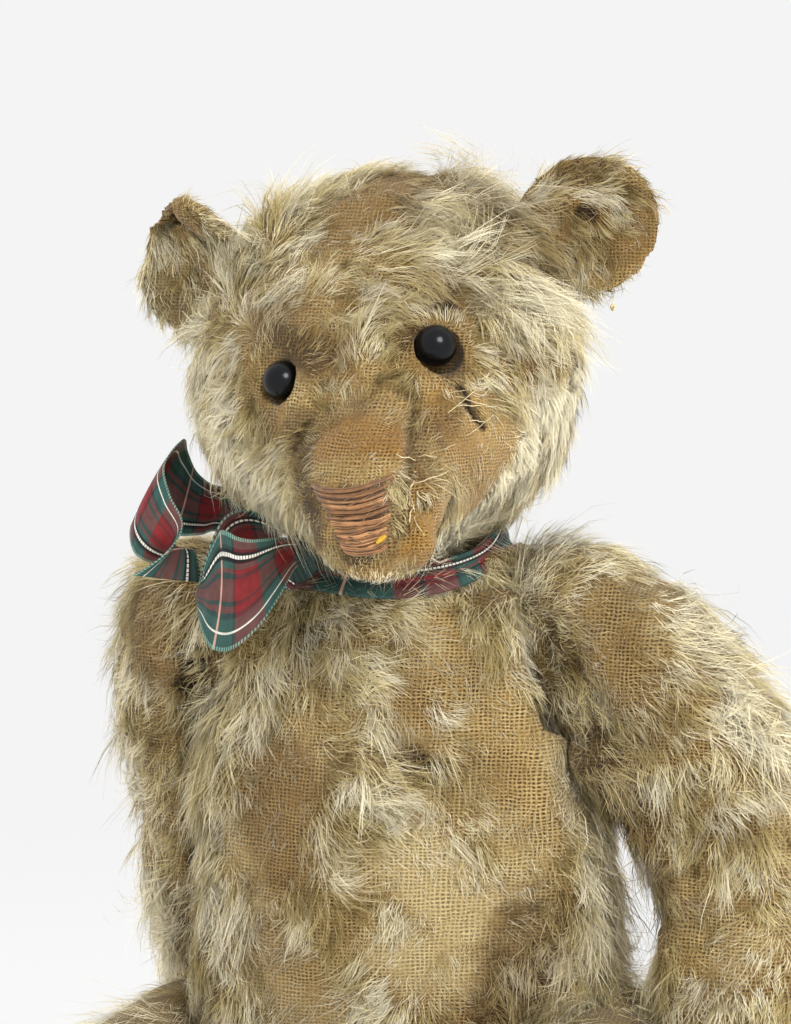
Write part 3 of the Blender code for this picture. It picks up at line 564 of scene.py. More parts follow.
def growStrands(fields, triangles, count, coat, tufts, rng):
    # one coat of the pile: roots over the skin by its density, each strand a tapering curl
    corners = fields["points"][triangles]
    areas = np.linalg.norm(np.cross(corners[:, 1] - corners[:, 0], corners[:, 2] - corners[:, 0]), axis=1) / 2
    weight = coat["chance"](fields)
    chance = areas * weight[triangles].mean(1)
    chosen = rng.choice(len(triangles), count, p=chance / chance.sum())
    mix = rng.random((count, 2))
    mix = np.where(mix.sum(1, keepdims=True) > 1, 1 - mix, mix)
    shares = np.stack([1 - mix.sum(1), mix[:, 0], mix[:, 1]], 1)
    rows = triangles[chosen]

    def at(values):
        picked = values[rows]
        return (picked * (shares[..., None] if picked.ndim == 3 else shares)).sum(1)

    roots, normals, comb = at(fields["points"]), unit(at(fields["normals"])), unit(at(fields["comb"]))
    bare, tuft, long, short, thin, fringe, dark = (
        at(fields[kind]) for kind in ("bare", "tuft", "long", "short", "thin", "fringe", "dark"))

    # the tuft that each strand stands in, 1 in its middle falling to 0 at its edge
    found = [tufts["finder"].find(place) for place in roots + rng.normal(0, 0.7 * mm, roots.shape)]
    tuftOf = np.array([item[1] for item in found])
    inTuft = 1 - smoothStep(np.array([item[2] for item in found]) / tufts["spacing"], 0.22, 0.72)
    covered = (1 - bare) * (1 - 0.6 * short)

    # strands gather into locks, which share their lean, length and tone
    lockCount = max(1, int(count / coat["lockSize"]))
    lockRoots = rng.choice(count, lockCount, replace=False)
    finder = kdtree.KDTree(lockCount)
    for index, root in enumerate(roots[lockRoots]):
        finder.insert(root, index)
    finder.balance()
    lock = np.array([finder.find(root)[1] for root in roots])
    lockSwirl = rng.normal(0, coat["swirl"], lockCount)
    lockLift = rng.normal(0, 0.12, lockCount)
    lockLong = np.clip(rng.normal(1, 0.2, lockCount), 0.5, 1.5)
    lockTone = rng.random(lockCount)
    toLock = roots[lockRoots][lock] - roots
    inLock = 1 - smoothStep(np.linalg.norm(toLock, axis=1), 0.5 * mm, 2.4 * mm)
    roots = roots + toLock * (coat["bunch"] * covered)[:, None]
    phase = rng.random(lockCount)[lock] * 6.28 + rng.normal(0, 0.7, count)
    wild = rng.random(count) < coat["wild"]

    wide = np.cross(normals, comb)
    woolly = at(fields["woolly"])
    angle = lockSwirl[lock] + rng.normal(0, 1, count) * coat["stray"] * woolly + wild * rng.normal(0, 1.0,
        count)
    angle += tufts["swing"][tuftOf] * (0.8 + 1.6 * tuft)
    bend = rng.normal(0, coat["bend"], lockCount)[lock] + tufts["bend"][tuftOf] * (1 + tuft)
    comb = comb * np.cos(angle)[:, None] + wide * np.sin(angle)[:, None]
    lying, wide = comb, np.cross(normals, comb)
    length = coat["length"] * mm * lockLong[lock] * np.clip(rng.normal(1, 0.2, count), 0.35, 1.6)
    length *= (1 - 0.55 * bare) * (1 - 0.55 * short) * (1 - 0.25 * thin) * (1 + 0.4 * tuft + 1.1 * long)
    length *= tufts["long"][tuftOf] * (0.72 + 0.38 * inTuft) * (1 - 0.3 * fringe)
    lift = coat["lift"] + lockLift[lock] + tufts["lift"][tuftOf] + rng.normal(0, 0.08, count)
    lift = np.clip(lift + 0.25 * tuft + 0.4 * long + 0.45 * wild + 0.5 * fringe, 0.08, 1.35)
    levels = coat["pairs"] + 2
    line = [roots - normals * 0.25 * mm]
    for level in range(1, levels):
        share = level / (levels - 1)
        rise = lift * (1.35 - 1.2 * share)
        turn = bend * share
        ahead = lying * np.cos(turn)[:, None] + wide * np.sin(turn)[:, None]
        step = ahead * np.cos(rise)[:, None] + normals * np.sin(rise)[:, None]
        step[:, 2] -= 0.14 * share
        wave = coat["curl"] * mm * share * woolly * np.sin(phase + share * coat["waves"] * woolly ** 0.5)
        line.append(line[-1] + unit(step) * (length / (levels - 1))[:, None] + wide * wave[:, None] * 0.5)
    line = np.array(line)
    tips = line[-1][lockRoots][lock]
    toTip = tips - line[-1]
    near = np.clip(1 - np.linalg.norm(toTip, axis=1) / (6 * mm), 0, 1) * (1 - wild)
    heads = tufts["rows"][tuftOf]
    lean = tufts["swing"][tuftOf] * (0.8 + 1.6 * tuft)
    ahead = unit(fields["comb"][heads])
    ahead = ahead * np.cos(lean)[:, None] + np.cross(fields["normals"][heads], ahead) * np.sin(lean)[:, None]
    spine = fields["points"][heads] + (ahead * 0.85 + fields["normals"][heads] * 0.4) * length[:, None]
    toSpine = spine - line[-1]
    drawn = coat["tufting"] * covered * (1 - wild) * np.clip(1.4 - np.linalg.norm(toSpine,
        axis=1) / (9 * mm), 0, 1)
    for level in range(1, levels):
        share = level / (levels - 1)
        line[level] += toTip * (coat["gather"] * share ** 1.2 * near)[:,
            None] + toSpine * (drawn * share ** 1.6)[:, None]
    line[..., 2] = np.maximum(line[..., 2], 0.3 * mm)
    roll = rng.normal(0, coat["roll"], count)
    width = coat["width"] * mm * np.clip(rng.normal(1, 0.25, count), 0.5, 1.7)
    facing = wide * np.cos(roll)[:, None] + normals * np.sin(roll)[:, None]
    per = 2 * coat["pairs"] + 2 if coat["pairs"] else 3
    vertices = np.empty((count, per, 3))
    vertices[:, 0], vertices[:, -1] = line[0], line[-1]
    along = [0.0]
    if not coat["pairs"]:
        half = facing * (width / 2)[:, None]
        vertices[:, 0], vertices[:, 1] = line[0] - half, line[0] + half
        along.append(0.0)
    for level in range(1, levels - 1):
        half = facing * (width * (1.0 - 0.4 * (level - 1)) / 2)[:, None]
        vertices[:, 2 * level - 1], vertices[:, 2 * level] = line[level] - half, line[level] + half
        along += [level / (levels - 1)] * 2
    along.append(1.0)
    patch = at(fields["patch"])
    # tone: each lock and tuft its own, darker at the edges of each tuft and lock as painted shade between them,
    # darker by the painted shade of the dark field, lighter on the jaw's fringe, partly as painted light, and
    # raised or lowered by coat
    tone = (0.24 * lockTone[lock] + 0.06 * rng.random(count) + 0.34 * tufts["tone"][tuftOf]
            + 0.16 * inTuft + 0.06 * inLock)
    tone += 0.5 * patch + 0.09 + 0.2 * fringe - 0.35 * dark
    tone += coat["brighter"]
    lie = normals + lying * (0.35 - 0.5 * lift)[:, None] + wide * rng.normal(0, 0.35, lockCount)[lock][:,
        None]
    lie = unit(lie + np.array([0.2, -0.5, 0.9]) * fringe[:, None])
    values = {
        "along": np.tile(along, count) * coat["tipShare"],
        "tone": np.repeat(tone, per),
        "stain": np.repeat(np.clip(at(fields["stain"]) * 0.85 + 0.45 * bare + 0.2 * thin - fringe, 0, 1),
                           per),
        # paler on the fringe: a pale fringe, painted paler still as the light on the jaw's edge
        "pale": np.repeat(np.clip(at(fields["pale"]) * 0.9 + 0.3 * tuft + 0.8 * fringe, 0, 1.3), per),
        "lie": np.repeat(lie, per, axis=0),
    }
    if not coat["pairs"]:
        return vertices.reshape(-1, 3), [(0, 1, 2)], per, values
    faces = [(0, 2, 1)] + [(1 + 2 * i, 2 + 2 * i, 4 + 2 * i, 3 + 2 * i) for i in range(coat["pairs"] - 1)]
    faces.append((per - 3, per - 2, per - 1))
    return vertices.reshape(-1, 3), faces, per, values


def pileMesh(name, coats):
    # joins the coats into one mesh
    mesh = bpy.data.meshes.new(name)
    points, corners, starts, values, offset, cornerCount = [], [], [], {}, 0, 0
    for vertices, faces, per, coatValues in coats:
        strands = len(vertices) // per
        flat = np.concatenate([np.array(face) for face in faces])
        sizes = np.array([len(face) for face in faces])
        corners.append((offset + per * np.arange(strands)[:, None] + flat[None]).ravel())
        begin = np.concatenate([[0], np.cumsum(sizes)[:-1]])
        starts.append((cornerCount + len(flat) * np.arange(strands)[:, None] + begin[None]).ravel())
        cornerCount += len(flat) * strands
        offset += len(vertices)
        points.append(vertices)
        for key, column in coatValues.items():
            values.setdefault(key, []).append(column)
    corners, starts = np.concatenate(corners), np.concatenate(starts)
    mesh.vertices.add(offset)
    mesh.vertices.foreach_set("co", np.concatenate(points).astype(np.float32).ravel())
    mesh.loops.add(len(corners))
    mesh.loops.foreach_set("vertex_index", corners.astype(np.int32))
    mesh.polygons.add(len(starts))
    mesh.polygons.foreach_set("loop_start", starts.astype(np.int32))
    mesh.update(calc_edges=True)
    mesh.shade_smooth()
    for key, columns in values.items():
        setAttribute(mesh, key, np.concatenate(columns))
    return mesh


# tipShare and brighter keep the fill coat darker than the locks lying over it: painted shade deep in the pile
coats = {
    "locks": {"length": 10.6, "lift": 0.4, "bend": 0.75, "curl": 1.2, "waves": 4.4, "gather": 0.42,
              "swirl": 0.16, "stray": 0.09,
              "width": 0.22, "roll": 0.55, "pairs": 2, "lockSize": 14, "wild": 0.006, "tipShare": 1.0,
              "tufting": 0.2, "bunch": 0.22, "brighter": 0.1,
              "chance": lambda fields: fields["density"] ** 1.3},
    "fill": {"length": 8.8, "lift": 0.36, "bend": 0.6, "curl": 0.8, "waves": 3.0, "gather": 0.28,
             "swirl": 0.16, "stray": 0.15,
             "width": 0.22, "roll": 0.5, "pairs": 1, "lockSize": 20, "wild": 0.006, "tipShare": 0.8,
             "tufting": 0.16, "bunch": 0.15, "brighter": -0.06,
             "chance": lambda fields: fields["density"]},
    "fuzz": {"length": 3.4, "lift": 0.6, "bend": 0.6, "curl": 0.5, "waves": 3.0, "gather": 0.35,
             "swirl": 0.5, "stray": 0.6,
             "width": 0.2, "roll": 0.9, "pairs": 0, "lockSize": 6, "wild": 0.3, "tipShare": 0.85,
             "tufting": 0.0, "bunch": 0.0, "brighter": 0.08,
             "chance": lambda fields: (fields["density"] > 0) * (
                 0.25 + 0.75 * np.maximum(np.maximum(fields["thin"], fields["short"]), fields["bare"]))},
}


def growPile(name, fields, mesh, counts, seed, side):
    # counts gives the strands of each coat; side chooses the part of the skin to cover
    rng = np.random.default_rng(seed)
    mesh.calc_loop_triangles()
    triangles = np.empty(len(mesh.loop_triangles) * 3, np.int32)
    mesh.loop_triangles.foreach_get("vertices", triangles)
    triangles = triangles.reshape(-1, 3)
    triangles = triangles[side(fields["normals"][triangles].mean(1))]
    tufts = plantTufts(fields, triangles, 8.5, rng)
    grown = [growStrands(fields, triangles, count, coats[coat], tufts, rng) for coat, count in counts.items()]
    return newPiece(name, pileMesh(name, grown), materials["pile"])


# the forms
# Spots are shares of the form's box: across to the bear's left and up, or across, back and up.
def towardsView(normals):
    return normals @ np.array([0.28, -0.95, 0.1]) > -0.12


def awayFromView(normals):
    return ~towardsView(normals)


def everySide(normals):
    return np.ones(len(normals), bool)


forms = {
    "head": {
        "nodes": ["head"], "voxel": 1.9, "clear": ("eye_right", "eye_left"), "plugs": [("neck", 1, 19)],
             "lumps": 0.55, "seed": 3, "reach": 19,
        "inset": 2.0, "cloth": materials["fine backing"],
        "swell": [([(0.16, 0.5, 0.86), (0.30, 0.5, 0.96)], 15, 4.0),
                  ([(0.42, 0.55, 1.0), (0.62, 0.55, 1.0)], 20, 4.5),
                  ([(0.72, 0.6, 0.98), (0.82, 0.6, 0.94)], 14, 8.0),
                  ([(1.0, 0.5, 0.72), (1.0, 0.5, 0.58)], 14, 5.5),
                  ([(0.0, 0.5, 0.62), (0.0, 0.5, 0.50)], 14, 2.0), ([(0.02, 0.5, 0.35)], 16, 1.5),
                  ([(1.0, 0.55, 0.30), (0.92, 0.5, 0.14)], 14, -2.0),
                  ([(0.72, 0.10), (0.68, 0.03, 0.02)], 9, 4.5),
                  ([(0.60, 0.07), (0.74, 0.07)], 9, 5.0)],
        "long": [([(0.14, 0.45, 0.84), (0.24, 0.45, 0.92)], 8, 0.3),
                 ([(0.66, 0.6, 0.99), (0.84, 0.6, 0.92)], 11, 0.4),
                 ([(0.78, 0.80), (0.90, 0.68)], 8, 0.5), ([(0.66, 0.04)], 6, 0.5),
                 ([(0.05, 0.5, 0.6)], 9, 0.35)],
        "piles": {"front": (towardsView, {"locks": 17000, "fill": 45000, "fuzz": 38000}),
                  "back": (awayFromView, {"locks": 6000, "fill": 11000})},
        "age": 0.1, "fallback": lambda p: (0.2 * np.sign(p[0] - neck.x), 0.6, -0.8), "dentDepth": 1.5,
        "bare": [
            ([(0.46, 0.89), (0.52, 0.93), (0.56, 0.56, 0.98)], 7, 0.58),
            ([(0.56, 0.33), (0.73, 0.34)], 10, 0.97),
            ([(0.45, 0.31), (0.51, 0.14)], 7, 0.5),
            ([(0.81, 0.36), (0.88, 0.27), (0.83, 0.17)], 12, 0.93),
            ([(0.77, 0.46), (0.86, 0.37)], 8, 0.85),
            ([(0.78, 0.10), (0.82, 0.20)], 8, 0.97),
            ([(0.60, 0.22), (0.67, 0.09), (0.67, 0.04)], 9, 0.9),
            ([(0.40, 0.41), (0.38, 0.44)], 7, 0.7),
            ([(0.61, 0.40), (0.70, 0.42)], 8, 0.85),
            ([(0.99, 0.5, 0.57), (0.99, 0.52, 0.46)], 4, 0.9),
        ],
        # a pale fringe along the jaw and chin, also painted paler as the light on their edge
        "fringe": [([(0.66, 0.03), (0.79, 0.40, 0.11), (0.86, 0.42, 0.19), (0.91, 0.43, 0.28)], 7, 1.0),
                   ([(0.91, 0.43, 0.28), (0.96, 0.48, 0.36), (0.99, 0.54, 0.48)], 9, 0.9)],
        "thin": [
            ([(0.31, 0.61), (0.42, 0.57), (0.50, 0.52)], 8, 0.8), ([(0.70, 0.73), (0.76, 0.70)], 7, 0.6),
            ([(0.40, 0.64), (0.47, 0.54)], 12, 0.85),
            ([(0.29, 0.74), (0.59, 0.78)], 10, 0.5),
            ([(0.60, 0.50), (0.61, 0.44)], 9, 0.5),
            ([(0.82, 0.58), (0.90, 0.45)], 12, 0.3),
            ([(0.25, 0.61), (0.28, 0.51), (0.40, 0.41)], 10, 0.6),
            ([(0.40, 0.80), (0.46, 0.89)], 10, 0.7),
        ],
        # stains; the strokes at the left brow and beside the left eye are painted shade
        "stain": [
            ([(0.46, 0.89), (0.52, 0.93), (0.56, 0.56, 0.98)], 11, 0.9),
            ([(0.30, 0.62), (0.42, 0.58), (0.50, 0.53)], 9, 0.9), ([(0.55, 0.71), (0.60, 0.67)], 8, 0.65),
            ([(0.70, 0.74), (0.77, 0.70)], 8, 0.85), ([(0.62, 0.87)], 7, 0.6),
                  ([(0.62, 0.44), (0.68, 0.41)], 6, 0.6),
            ([(0.33, 0.42), (0.36, 0.36)], 7, 0.6),
                  ([(0.78, 0.5, 0.97), (0.90, 0.5, 0.90), (0.97, 0.6, 0.78)], 9, 1.0),
            ([(0.84, 0.60), (0.90, 0.5, 0.5)], 8, 0.5), ([(0.72, 0.58), (0.80, 0.52)], 6, 0.5),
            ([(0.40, 0.64), (0.47, 0.54)], 10, 0.75),
            ([(0.70, 0.61)], 5, 0.8),
            ([(0.45, 0.31), (0.49, 0.2)], 7, 0.7), ([(0.56, 0.33), (0.73, 0.34)], 12, 0.45),
                  ([(0.58, 0.2), (0.66, 0.04)], 14, 0.5),
            ([(0.80, 0.36), (0.84, 0.22)], 13, 0.4),
            ([(0.70, 0.35), (0.74, 0.42)], 6, 0.5),
        ],
        # mostly painted shade: in the crease beside the bridge, under the brows, round the eyes, along the muzzle,
        # and in the tear and small holes
        "dark": [
            ([(0.63, 0.18), (0.64, 0.09)], 6, 0.8), ([(0.34, 0.60), (0.46, 0.55)], 6, 0.6),
                 ([(0.69, 0.71), (0.75, 0.71)], 5, 0.8),
            ([(0.80, 0.5, 0.96), (0.90, 0.5, 0.90), (0.95, 0.6, 0.8)], 7, 0.7),
            ([(0.70, 0.50), (0.735, 0.44), (0.75, 0.34), (0.76, 0.24), (0.74, 0.12)], 2.2, 0.7),
            ([(0.44, 0.38), (0.46, 0.26), (0.53, 0.12)], 6, 0.7), ([(0.80, 0.42), (0.79, 0.30)], 6, 0.45),
                 ([(0.71, 0.22), (0.70, 0.10)], 5, 0.55),
            ([(0.52, 0.40), (0.60, 0.43)], 5, 0.35), ([(0.78, 0.30), (0.80, 0.22)], 7, 0.4),
                 ([(0.77, 0.55), (0.80, 0.50)], 5, 0.5),
            ([(0.81, 0.475), (0.835, 0.42), (0.86, 0.37)], 1.8, 0.8),
            ([(0.79, 0.18)], 2.0, 1.0),
            ([(0.99, 0.5, 0.56), (0.99, 0.52, 0.48)], 3.2, 0.9),
            ([(0.70, 0.63), (0.66, 0.58)], 3.5, 0.5),
            ([(0.40, 0.50), (0.34, 0.44)], 3.0, 0.4),
        ],
        "dent": [
            ([(0.70, 0.50), (0.735, 0.44), (0.75, 0.34), (0.76, 0.24), (0.74, 0.12)], 2.8, 1.7),
            ([(0.81, 0.475), (0.835, 0.42), (0.86, 0.37)], 1.4, 0.9),
            ([(0.79, 0.18)], 2.2, 0.8), ([(0.70, 0.70), (0.76, 0.70)], 4.0, 0.9),
            ([(0.50, 0.52), (0.60, 0.46), (0.70, 0.50)], 4.0, 0.5),
        ],
        "ochre": [([(0.55, 0.35), (0.68, 0.35)], 9, 0.9), ([(0.82, 0.40), (0.86, 0.2)], 16, 0.55),
                  ([(0.77, 0.10), (0.80, 0.17)], 7, 1.0), ([(0.66, 0.03)], 6, 0.9),
                  ([(0.23, 0.55)], 6, 0.6)],
        # paler fur; the stroke along the jaw and those on the head's outer edge are partly painted light on the
        # outline
        "pale": [
            ([(0.87, 0.12), (0.98, 0.54, 0.37), (1.0, 0.6, 0.5)], 16, 1.2),
            ([(0.18, 0.34), (0.30, 0.15), (0.5, 0.05)], 13, 0.8),
            ([(0.10, 0.50), (0.05, 0.5, 0.6)], 10, 0.6),
            ([(0.79, 0.80), (0.95, 0.61)], 14, 0.7),
            ([(0.60, 0.95), (0.7, 0.5, 0.95)], 12, 0.45), ([(0.32, 0.72), (0.5, 0.78)], 9, 0.5),
                 ([(0.28, 0.85), (0.36, 0.8)], 8, 0.5),
            ([(0.15, 0.45, 0.85), (0.3, 0.4, 0.93)], 11, 0.4),
                 ([(0.02, 0.5, 0.6), (0.05, 0.45, 0.35)], 12, 0.7),
            ([(0.67, 0.02)], 8, 0.9),
        ],
        "short": [
            ([(0.60, 0.50), (0.61, 0.44)], 9, 0.6), ([(0.84, 0.5, 0.95), (0.94, 0.5, 0.85)], 8, 0.5),
            ([(0.40, 0.41), (0.40, 0.60)], 10, 0.55),
            ([(0.82, 0.58), (0.77, 0.49)], 13, 0.4),
            ([(0.56, 0.31), (0.67, 0.09)], 20, 1.0),
            ([(0.81, 0.36), (0.83, 0.17)], 13, 0.6),
                  ([(0.92, 0.10), (0.99, 0.5, 0.37), (1.0, 0.6, 0.5)], 12, 0.45),
        ],
        "tuft": [([(0.79, 0.80), (0.90, 0.72)], 9, 0.8), ([(0.18, 0.34)], 9, 0.4),
                 ([(0.6, 0.5, 0.99), (0.85, 0.5, 0.9)], 10, 0.9),
                 ([(0.1, 0.45, 0.8), (0.25, 0.45, 0.93)], 8, 0.9), ([(0.55, 0.80), (0.80, 0.76)], 8, 0.6)],
        "combs": [
            ((0.57, 0.57), (0.35, 0, 0.9)), ((0.40, 0.64), (0.6, 0, 0.75)), ((0.29, 0.74), (0.75, 0, 0.6)),
            ((0.46, 0.89), (0.75, 0, 0.6)), ((0.59, 0.78), (0.9, 0, 0.3)), ((0.79, 0.80), (0.95, 0.1, -0.05)),
            ((0.90, 0.72), (0.8, 0.3, -0.4)), ((0.56, 0.56, 0.98), (0.7, 0.2, 0.5)),
                  ((0.28, 0.51), (-0.5, 0, -0.2)),
            ((0.8, 0.5, 0.93), (0.85, 0.1, 0.4)), ((0.15, 0.45, 0.85), (-0.3, 0, 0.9)),
            ((0.10, 0.50), (-0.8, 0.2, -0.5)), ((0.18, 0.34), (-0.5, 0.1, -0.8)),
                  ((0.45, 0.31), (-0.4, 0.5, -0.6)),
            ((0.82, 0.58), (0.7, 0.4, -0.4)), ((0.95, 0.61), (0.5, 0.4, -0.7)),
                  ((0.97, 0.5, 0.38), (0.8, -0.1, -0.5)),
            ((0.79, 0.40, 0.11), (0.5, -0.2, -0.85)), ((0.89, 0.43, 0.24), (0.7, -0.2, -0.65)),
                  ((0.67, 0.03), (0.2, -0.1, -1)),
            ((0.61, 0.44), (0.1, 0.1, 0.9)), ((0.30, 0.15), (-0.3, 0.1, -0.9)),
        ],
    },
    "torso": {
        "nodes": ["torso"], "voxel": 2.5, "lumps": 1.1, "woolly": 1.8, "seed": 11, "reach": 16, "inset": -1.2,
        "swell": [([(0.98, 0.45, 0.75), (1.0, 0.45, 0.60)], 22, 4.0),
                  ([(1.0, 0.45, 0.60), (1.0, 0.45, 0.42)], 24, 10.5),
                  ([(0.0, 0.3, 0.85), (0.0, 0.25, 0.70)], 16, 8.0),
                  ([(0.0, 0.35, 0.6), (0.0, 0.35, 0.3)], 22, 3.0),
                  ([(0.80, 0.5, 0.99), (0.92, 0.55, 0.97)], 11, 9.5),
                  ([(0.98, 0.30, 0.92), (1.0, 0.30, 0.66)], 15, 10.0)],
        "long": [([(0.78, 0.45, 0.99), (0.95, 0.5, 0.93)], 9, 0.35),
                 ([(1.0, 0.4, 0.8), (1.0, 0.4, 0.4)], 12, 0.7),
                 ([(0.03, 0.3, 0.85), (0.03, 0.25, 0.68)], 10, 0.4)],
        "plugs": [("neck", -1, 19), ("shoulder_right", -1, 15), ("shoulder_left", 1, 15),
                  ("hip_right", -1, 21), ("hip_left", 1, 21)],
        "piles": {"front": (towardsView, {"locks": 17000, "fill": 44000, "fuzz": 40000}),
                  "back": (awayFromView, {"locks": 6000, "fill": 11000})},
        "age": 0.12, "fallback": lambda p: (0.3 * (p[0] - neck.x) / 0.05, 0, -1),
        "bare": [
            ([(0.66, 0.90), (0.72, 0.86), (0.79, 0.80)], 11, 0.85), ([(0.62, 0.86), (0.63, 0.76)], 7, 0.75),
            ([(0.30, 0.71), (0.26, 0.60)], 14, 0.86),
            ([(0.19, 0.61)], 11, 0.75),
            ([(0.27, 0.45), (0.39, 0.38)], 12, 0.8),
            ([(0.68, 0.58), (0.78, 0.51), (0.86, 0.50)], 12, 0.9),
            ([(0.85, 0.78), (0.87, 0.67), (0.89, 0.58)], 8, 0.8),
            ([(0.52, 0.57), (0.62, 0.585)], 7, 0.8),
            ([(0.64, 0.46), (0.78, 0.41)], 10, 0.7),
        ],
        "thin": [([(0.80, 0.70), (0.93, 0.66)], 15, 0.8), ([(0.5, 0.5), (0.45, 0.42)], 12, 0.6),
                 ([(0.35, 0.82), (0.42, 0.76)], 11, 0.7), ([(0.7, 0.75), (0.68, 0.66)], 9, 0.7)],
        # stains; the strokes down the left side by the arm are painted shade
        "stain": [([(0.30, 0.69), (0.26, 0.59)], 15, 0.95), ([(0.80, 0.70)], 12, 0.5),
                  ([(0.97, 0.5, 0.50), (0.97, 0.5, 0.34)], 12, 0.85),
                  ([(0.90, 0.48), (0.86, 0.36), (0.78, 0.28)], 12, 0.9), ([(0.36, 0.89)], 7, 0.5),
                  ([(0.60, 0.88), (0.63, 0.76)], 7, 0.7),
                  ([(0.44, 0.62)], 6, 0.5), ([(0.27, 0.45), (0.39, 0.38)], 12, 0.7),
                  ([(0.66, 0.88), (0.74, 0.84)], 9, 0.4)],
        # paler fur; the strokes on the side edges are partly painted light on the outline
        "pale": [
            ([(0.68, 0.58), (0.80, 0.51), (0.86, 0.50)], 14, 0.9),
                 ([(0.08, 0.58), (0.18, 0.50), (0.24, 0.38), (0.42, 0.33)], 13, 1.0),
                 ([(0.44, 0.70)], 6, 0.6),
            ([(0.98, 0.35, 0.72), (0.99, 0.4, 0.60), (0.99, 0.4, 0.48)], 9, 0.8),
            ([(0.10, 0.80), (0.12, 0.70)], 7, 1.0),
            ([(0.64, 0.46), (0.86, 0.44)], 14, 0.9),
            ([(0.40, 0.92), (0.52, 0.80), (0.60, 0.75)], 7, 0.8), ([(0.60, 0.905), (0.66, 0.89)], 5, 1.0),
            ([(0.50, 0.69), (0.66, 0.65)], 7, 1.0), ([(0.48, 0.56)], 5, 1.0),
                 ([(0.80, 0.94), (0.86, 0.84)], 6, 0.6),
            ([(0.97, 0.5, 0.79), (1.0, 0.5, 0.65)], 8, 0.7),
            ([(0.02, 0.3, 0.85), (0.02, 0.25, 0.65)], 12, 0.8),
                 ([(0.02, 0.3, 0.4), (0.1, 0.2, 0.25)], 12, 0.7),
        ],
        "dent": [([(0.56, 0.74), (0.50, 0.54), (0.52, 0.30)], 2.2, 0.5)],
        # mostly painted shade: in the valleys beside both arms, under the chin and in a few hollows
        "dark": [([(0.02, 0.2, 0.80), (0.03, 0.25, 0.60), (0.05, 0.3, 0.35)], 6, 0.9),
                 ([(0.90, 0.48), (0.86, 0.36), (0.78, 0.28)], 11, 0.5),
                 ([(0.63, 0.725), (0.70, 0.71)], 5, 0.8), ([(0.44, 0.74), (0.46, 0.66)], 4, 0.4),
                 ([(0.30, 0.93), (0.36, 0.88)], 7, 0.5)],
        "tuft": [([(0.36, 0.96), (0.50, 0.84)], 7, 0.7), ([(0.60, 0.905), (0.66, 0.89)], 5, 1.0),
                 ([(0.52, 0.79), (0.60, 0.75)], 6, 1.0), ([(0.50, 0.69), (0.64, 0.65)], 6.5, 1.0),
                 ([(0.48, 0.56)], 5, 0.9),
                 ([(0.80, 0.94), (0.86, 0.84)], 6, 0.5), ([(0.15, 0.80), (0.2, 0.72)], 8, 0.5),
                 ([(0.12, 0.5), (0.2, 0.44)], 8, 0.6)],
        "combs": [
            ((0.40, 0.92), (0.55, 0, -0.85)), ((0.63, 0.90), (0.9, 0, -0.35)), ((0.74, 0.86), (0.1, 0, -1)),
            ((0.56, 0.77), (0.85, 0, -0.5)), ((0.58, 0.67), (0.95, 0, -0.1)), ((0.48, 0.56), (0.9, 0, 0.1)),
            ((0.83, 0.9), (0.1, 0, -1)), ((0.97, 0.5, 0.55), (0.2, 0.2, -0.95)),
                  ((0.96, 0.2, 0.80), (0.8, -0.1, -0.5)), ((0.05, 0.3, 0.8), (0.1, -0.3, -0.9)),
            ((0.15, 0.47), (0.6, 0, -0.8)), ((0.05, 0.3, 0.35), (0.3, -0.3, -0.8)),
            ((0.30, 0.69), (0.45, 0, -0.85)), ((0.26, 0.59), (0.25, 0, -0.95)),
                  ((0.50, 0.54), (-0.4, 0, -0.9)),
            ((0.20, 0.85), (0.6, 0, -0.75)), ((0.27, 0.45), (-0.5, 0, -0.8)),
                  ((0.39, 0.38), (-0.6, 0, -0.75)),
            ((0.80, 0.70), (0.2, 0, -0.95)), ((0.86, 0.46), (0.3, 0, -0.9)),
        ],
    },
    "arm_left": {
        "nodes": ["arm_left"], "voxel": 2.3, "plugs": [("shoulder_left", -1, 15)], "lumps": 1.2,
                 "woolly": 2.0, "seed": 21,
        "inset": -1.6, "swell": [([(0.03, 0.6, 0.97)], 10, 4.5),
                                 ([(0.06, 0.2, 0.85), (0.18, 0.2, 0.66)], 10, -4.0),
                                 ([(0.62, 0.5, 0.88), (0.74, 0.5, 0.80), (0.90, 0.5, 0.66)], 21, 9.0),
                                 ([(0.30, 0.5, 0.64)], 12, 6.0),
                                 ([(0.38, 0.5, 0.50), (0.50, 0.5, 0.42)], 14, 5.0),
                                 ([(0.56, 0.5, 0.32), (0.60, 0.5, 0.22)], 16, 10.5)],
        "long": [([(0.04, 0.6, 0.98)], 8, 0.3), ([(0.75, 0.6, 0.8), (0.97, 0.6, 0.55)], 12, 0.4),
                 ([(0.42, 0.5, 0.50), (0.60, 0.5, 0.3)], 12, 0.4)],
        "reach": 24, "piles": {"": (everySide, {"locks": 12000, "fill": 29000, "fuzz": 11000})},
        "age": 0.12, "fallback": lambda p: (0.55, 0, -0.8),
        "bare": [([(0.27, 0.92), (0.38, 0.82)], 8, 0.6), ([(0.65, 0.45), (0.80, 0.37)], 10, 0.6),
                 ([(0.84, 0.61), (0.89, 0.53)], 7, 0.7)],
        "thin": [([(0.48, 0.74), (0.55, 0.66)], 12, 0.3)],
        "stain": [([(0.45, 0.76)], 12, 0.5), ([(0.84, 0.61)], 10, 0.6),
                  ([(0.27, 0.92), (0.38, 0.82)], 9, 0.6),
                  ([(0.28, 0.3, 0.60), (0.36, 0.3, 0.46)], 9, 0.9)],
        # paler fur along the arm's upper, outer edge, partly painted light on its outline
        "pale": [([(0.05, 0.6, 1.0), (0.45, 0.6, 0.97), (0.75, 0.6, 0.80), (0.95, 0.6, 0.6),
                   (1.0, 0.6, 0.4)], 14, 1.0)],
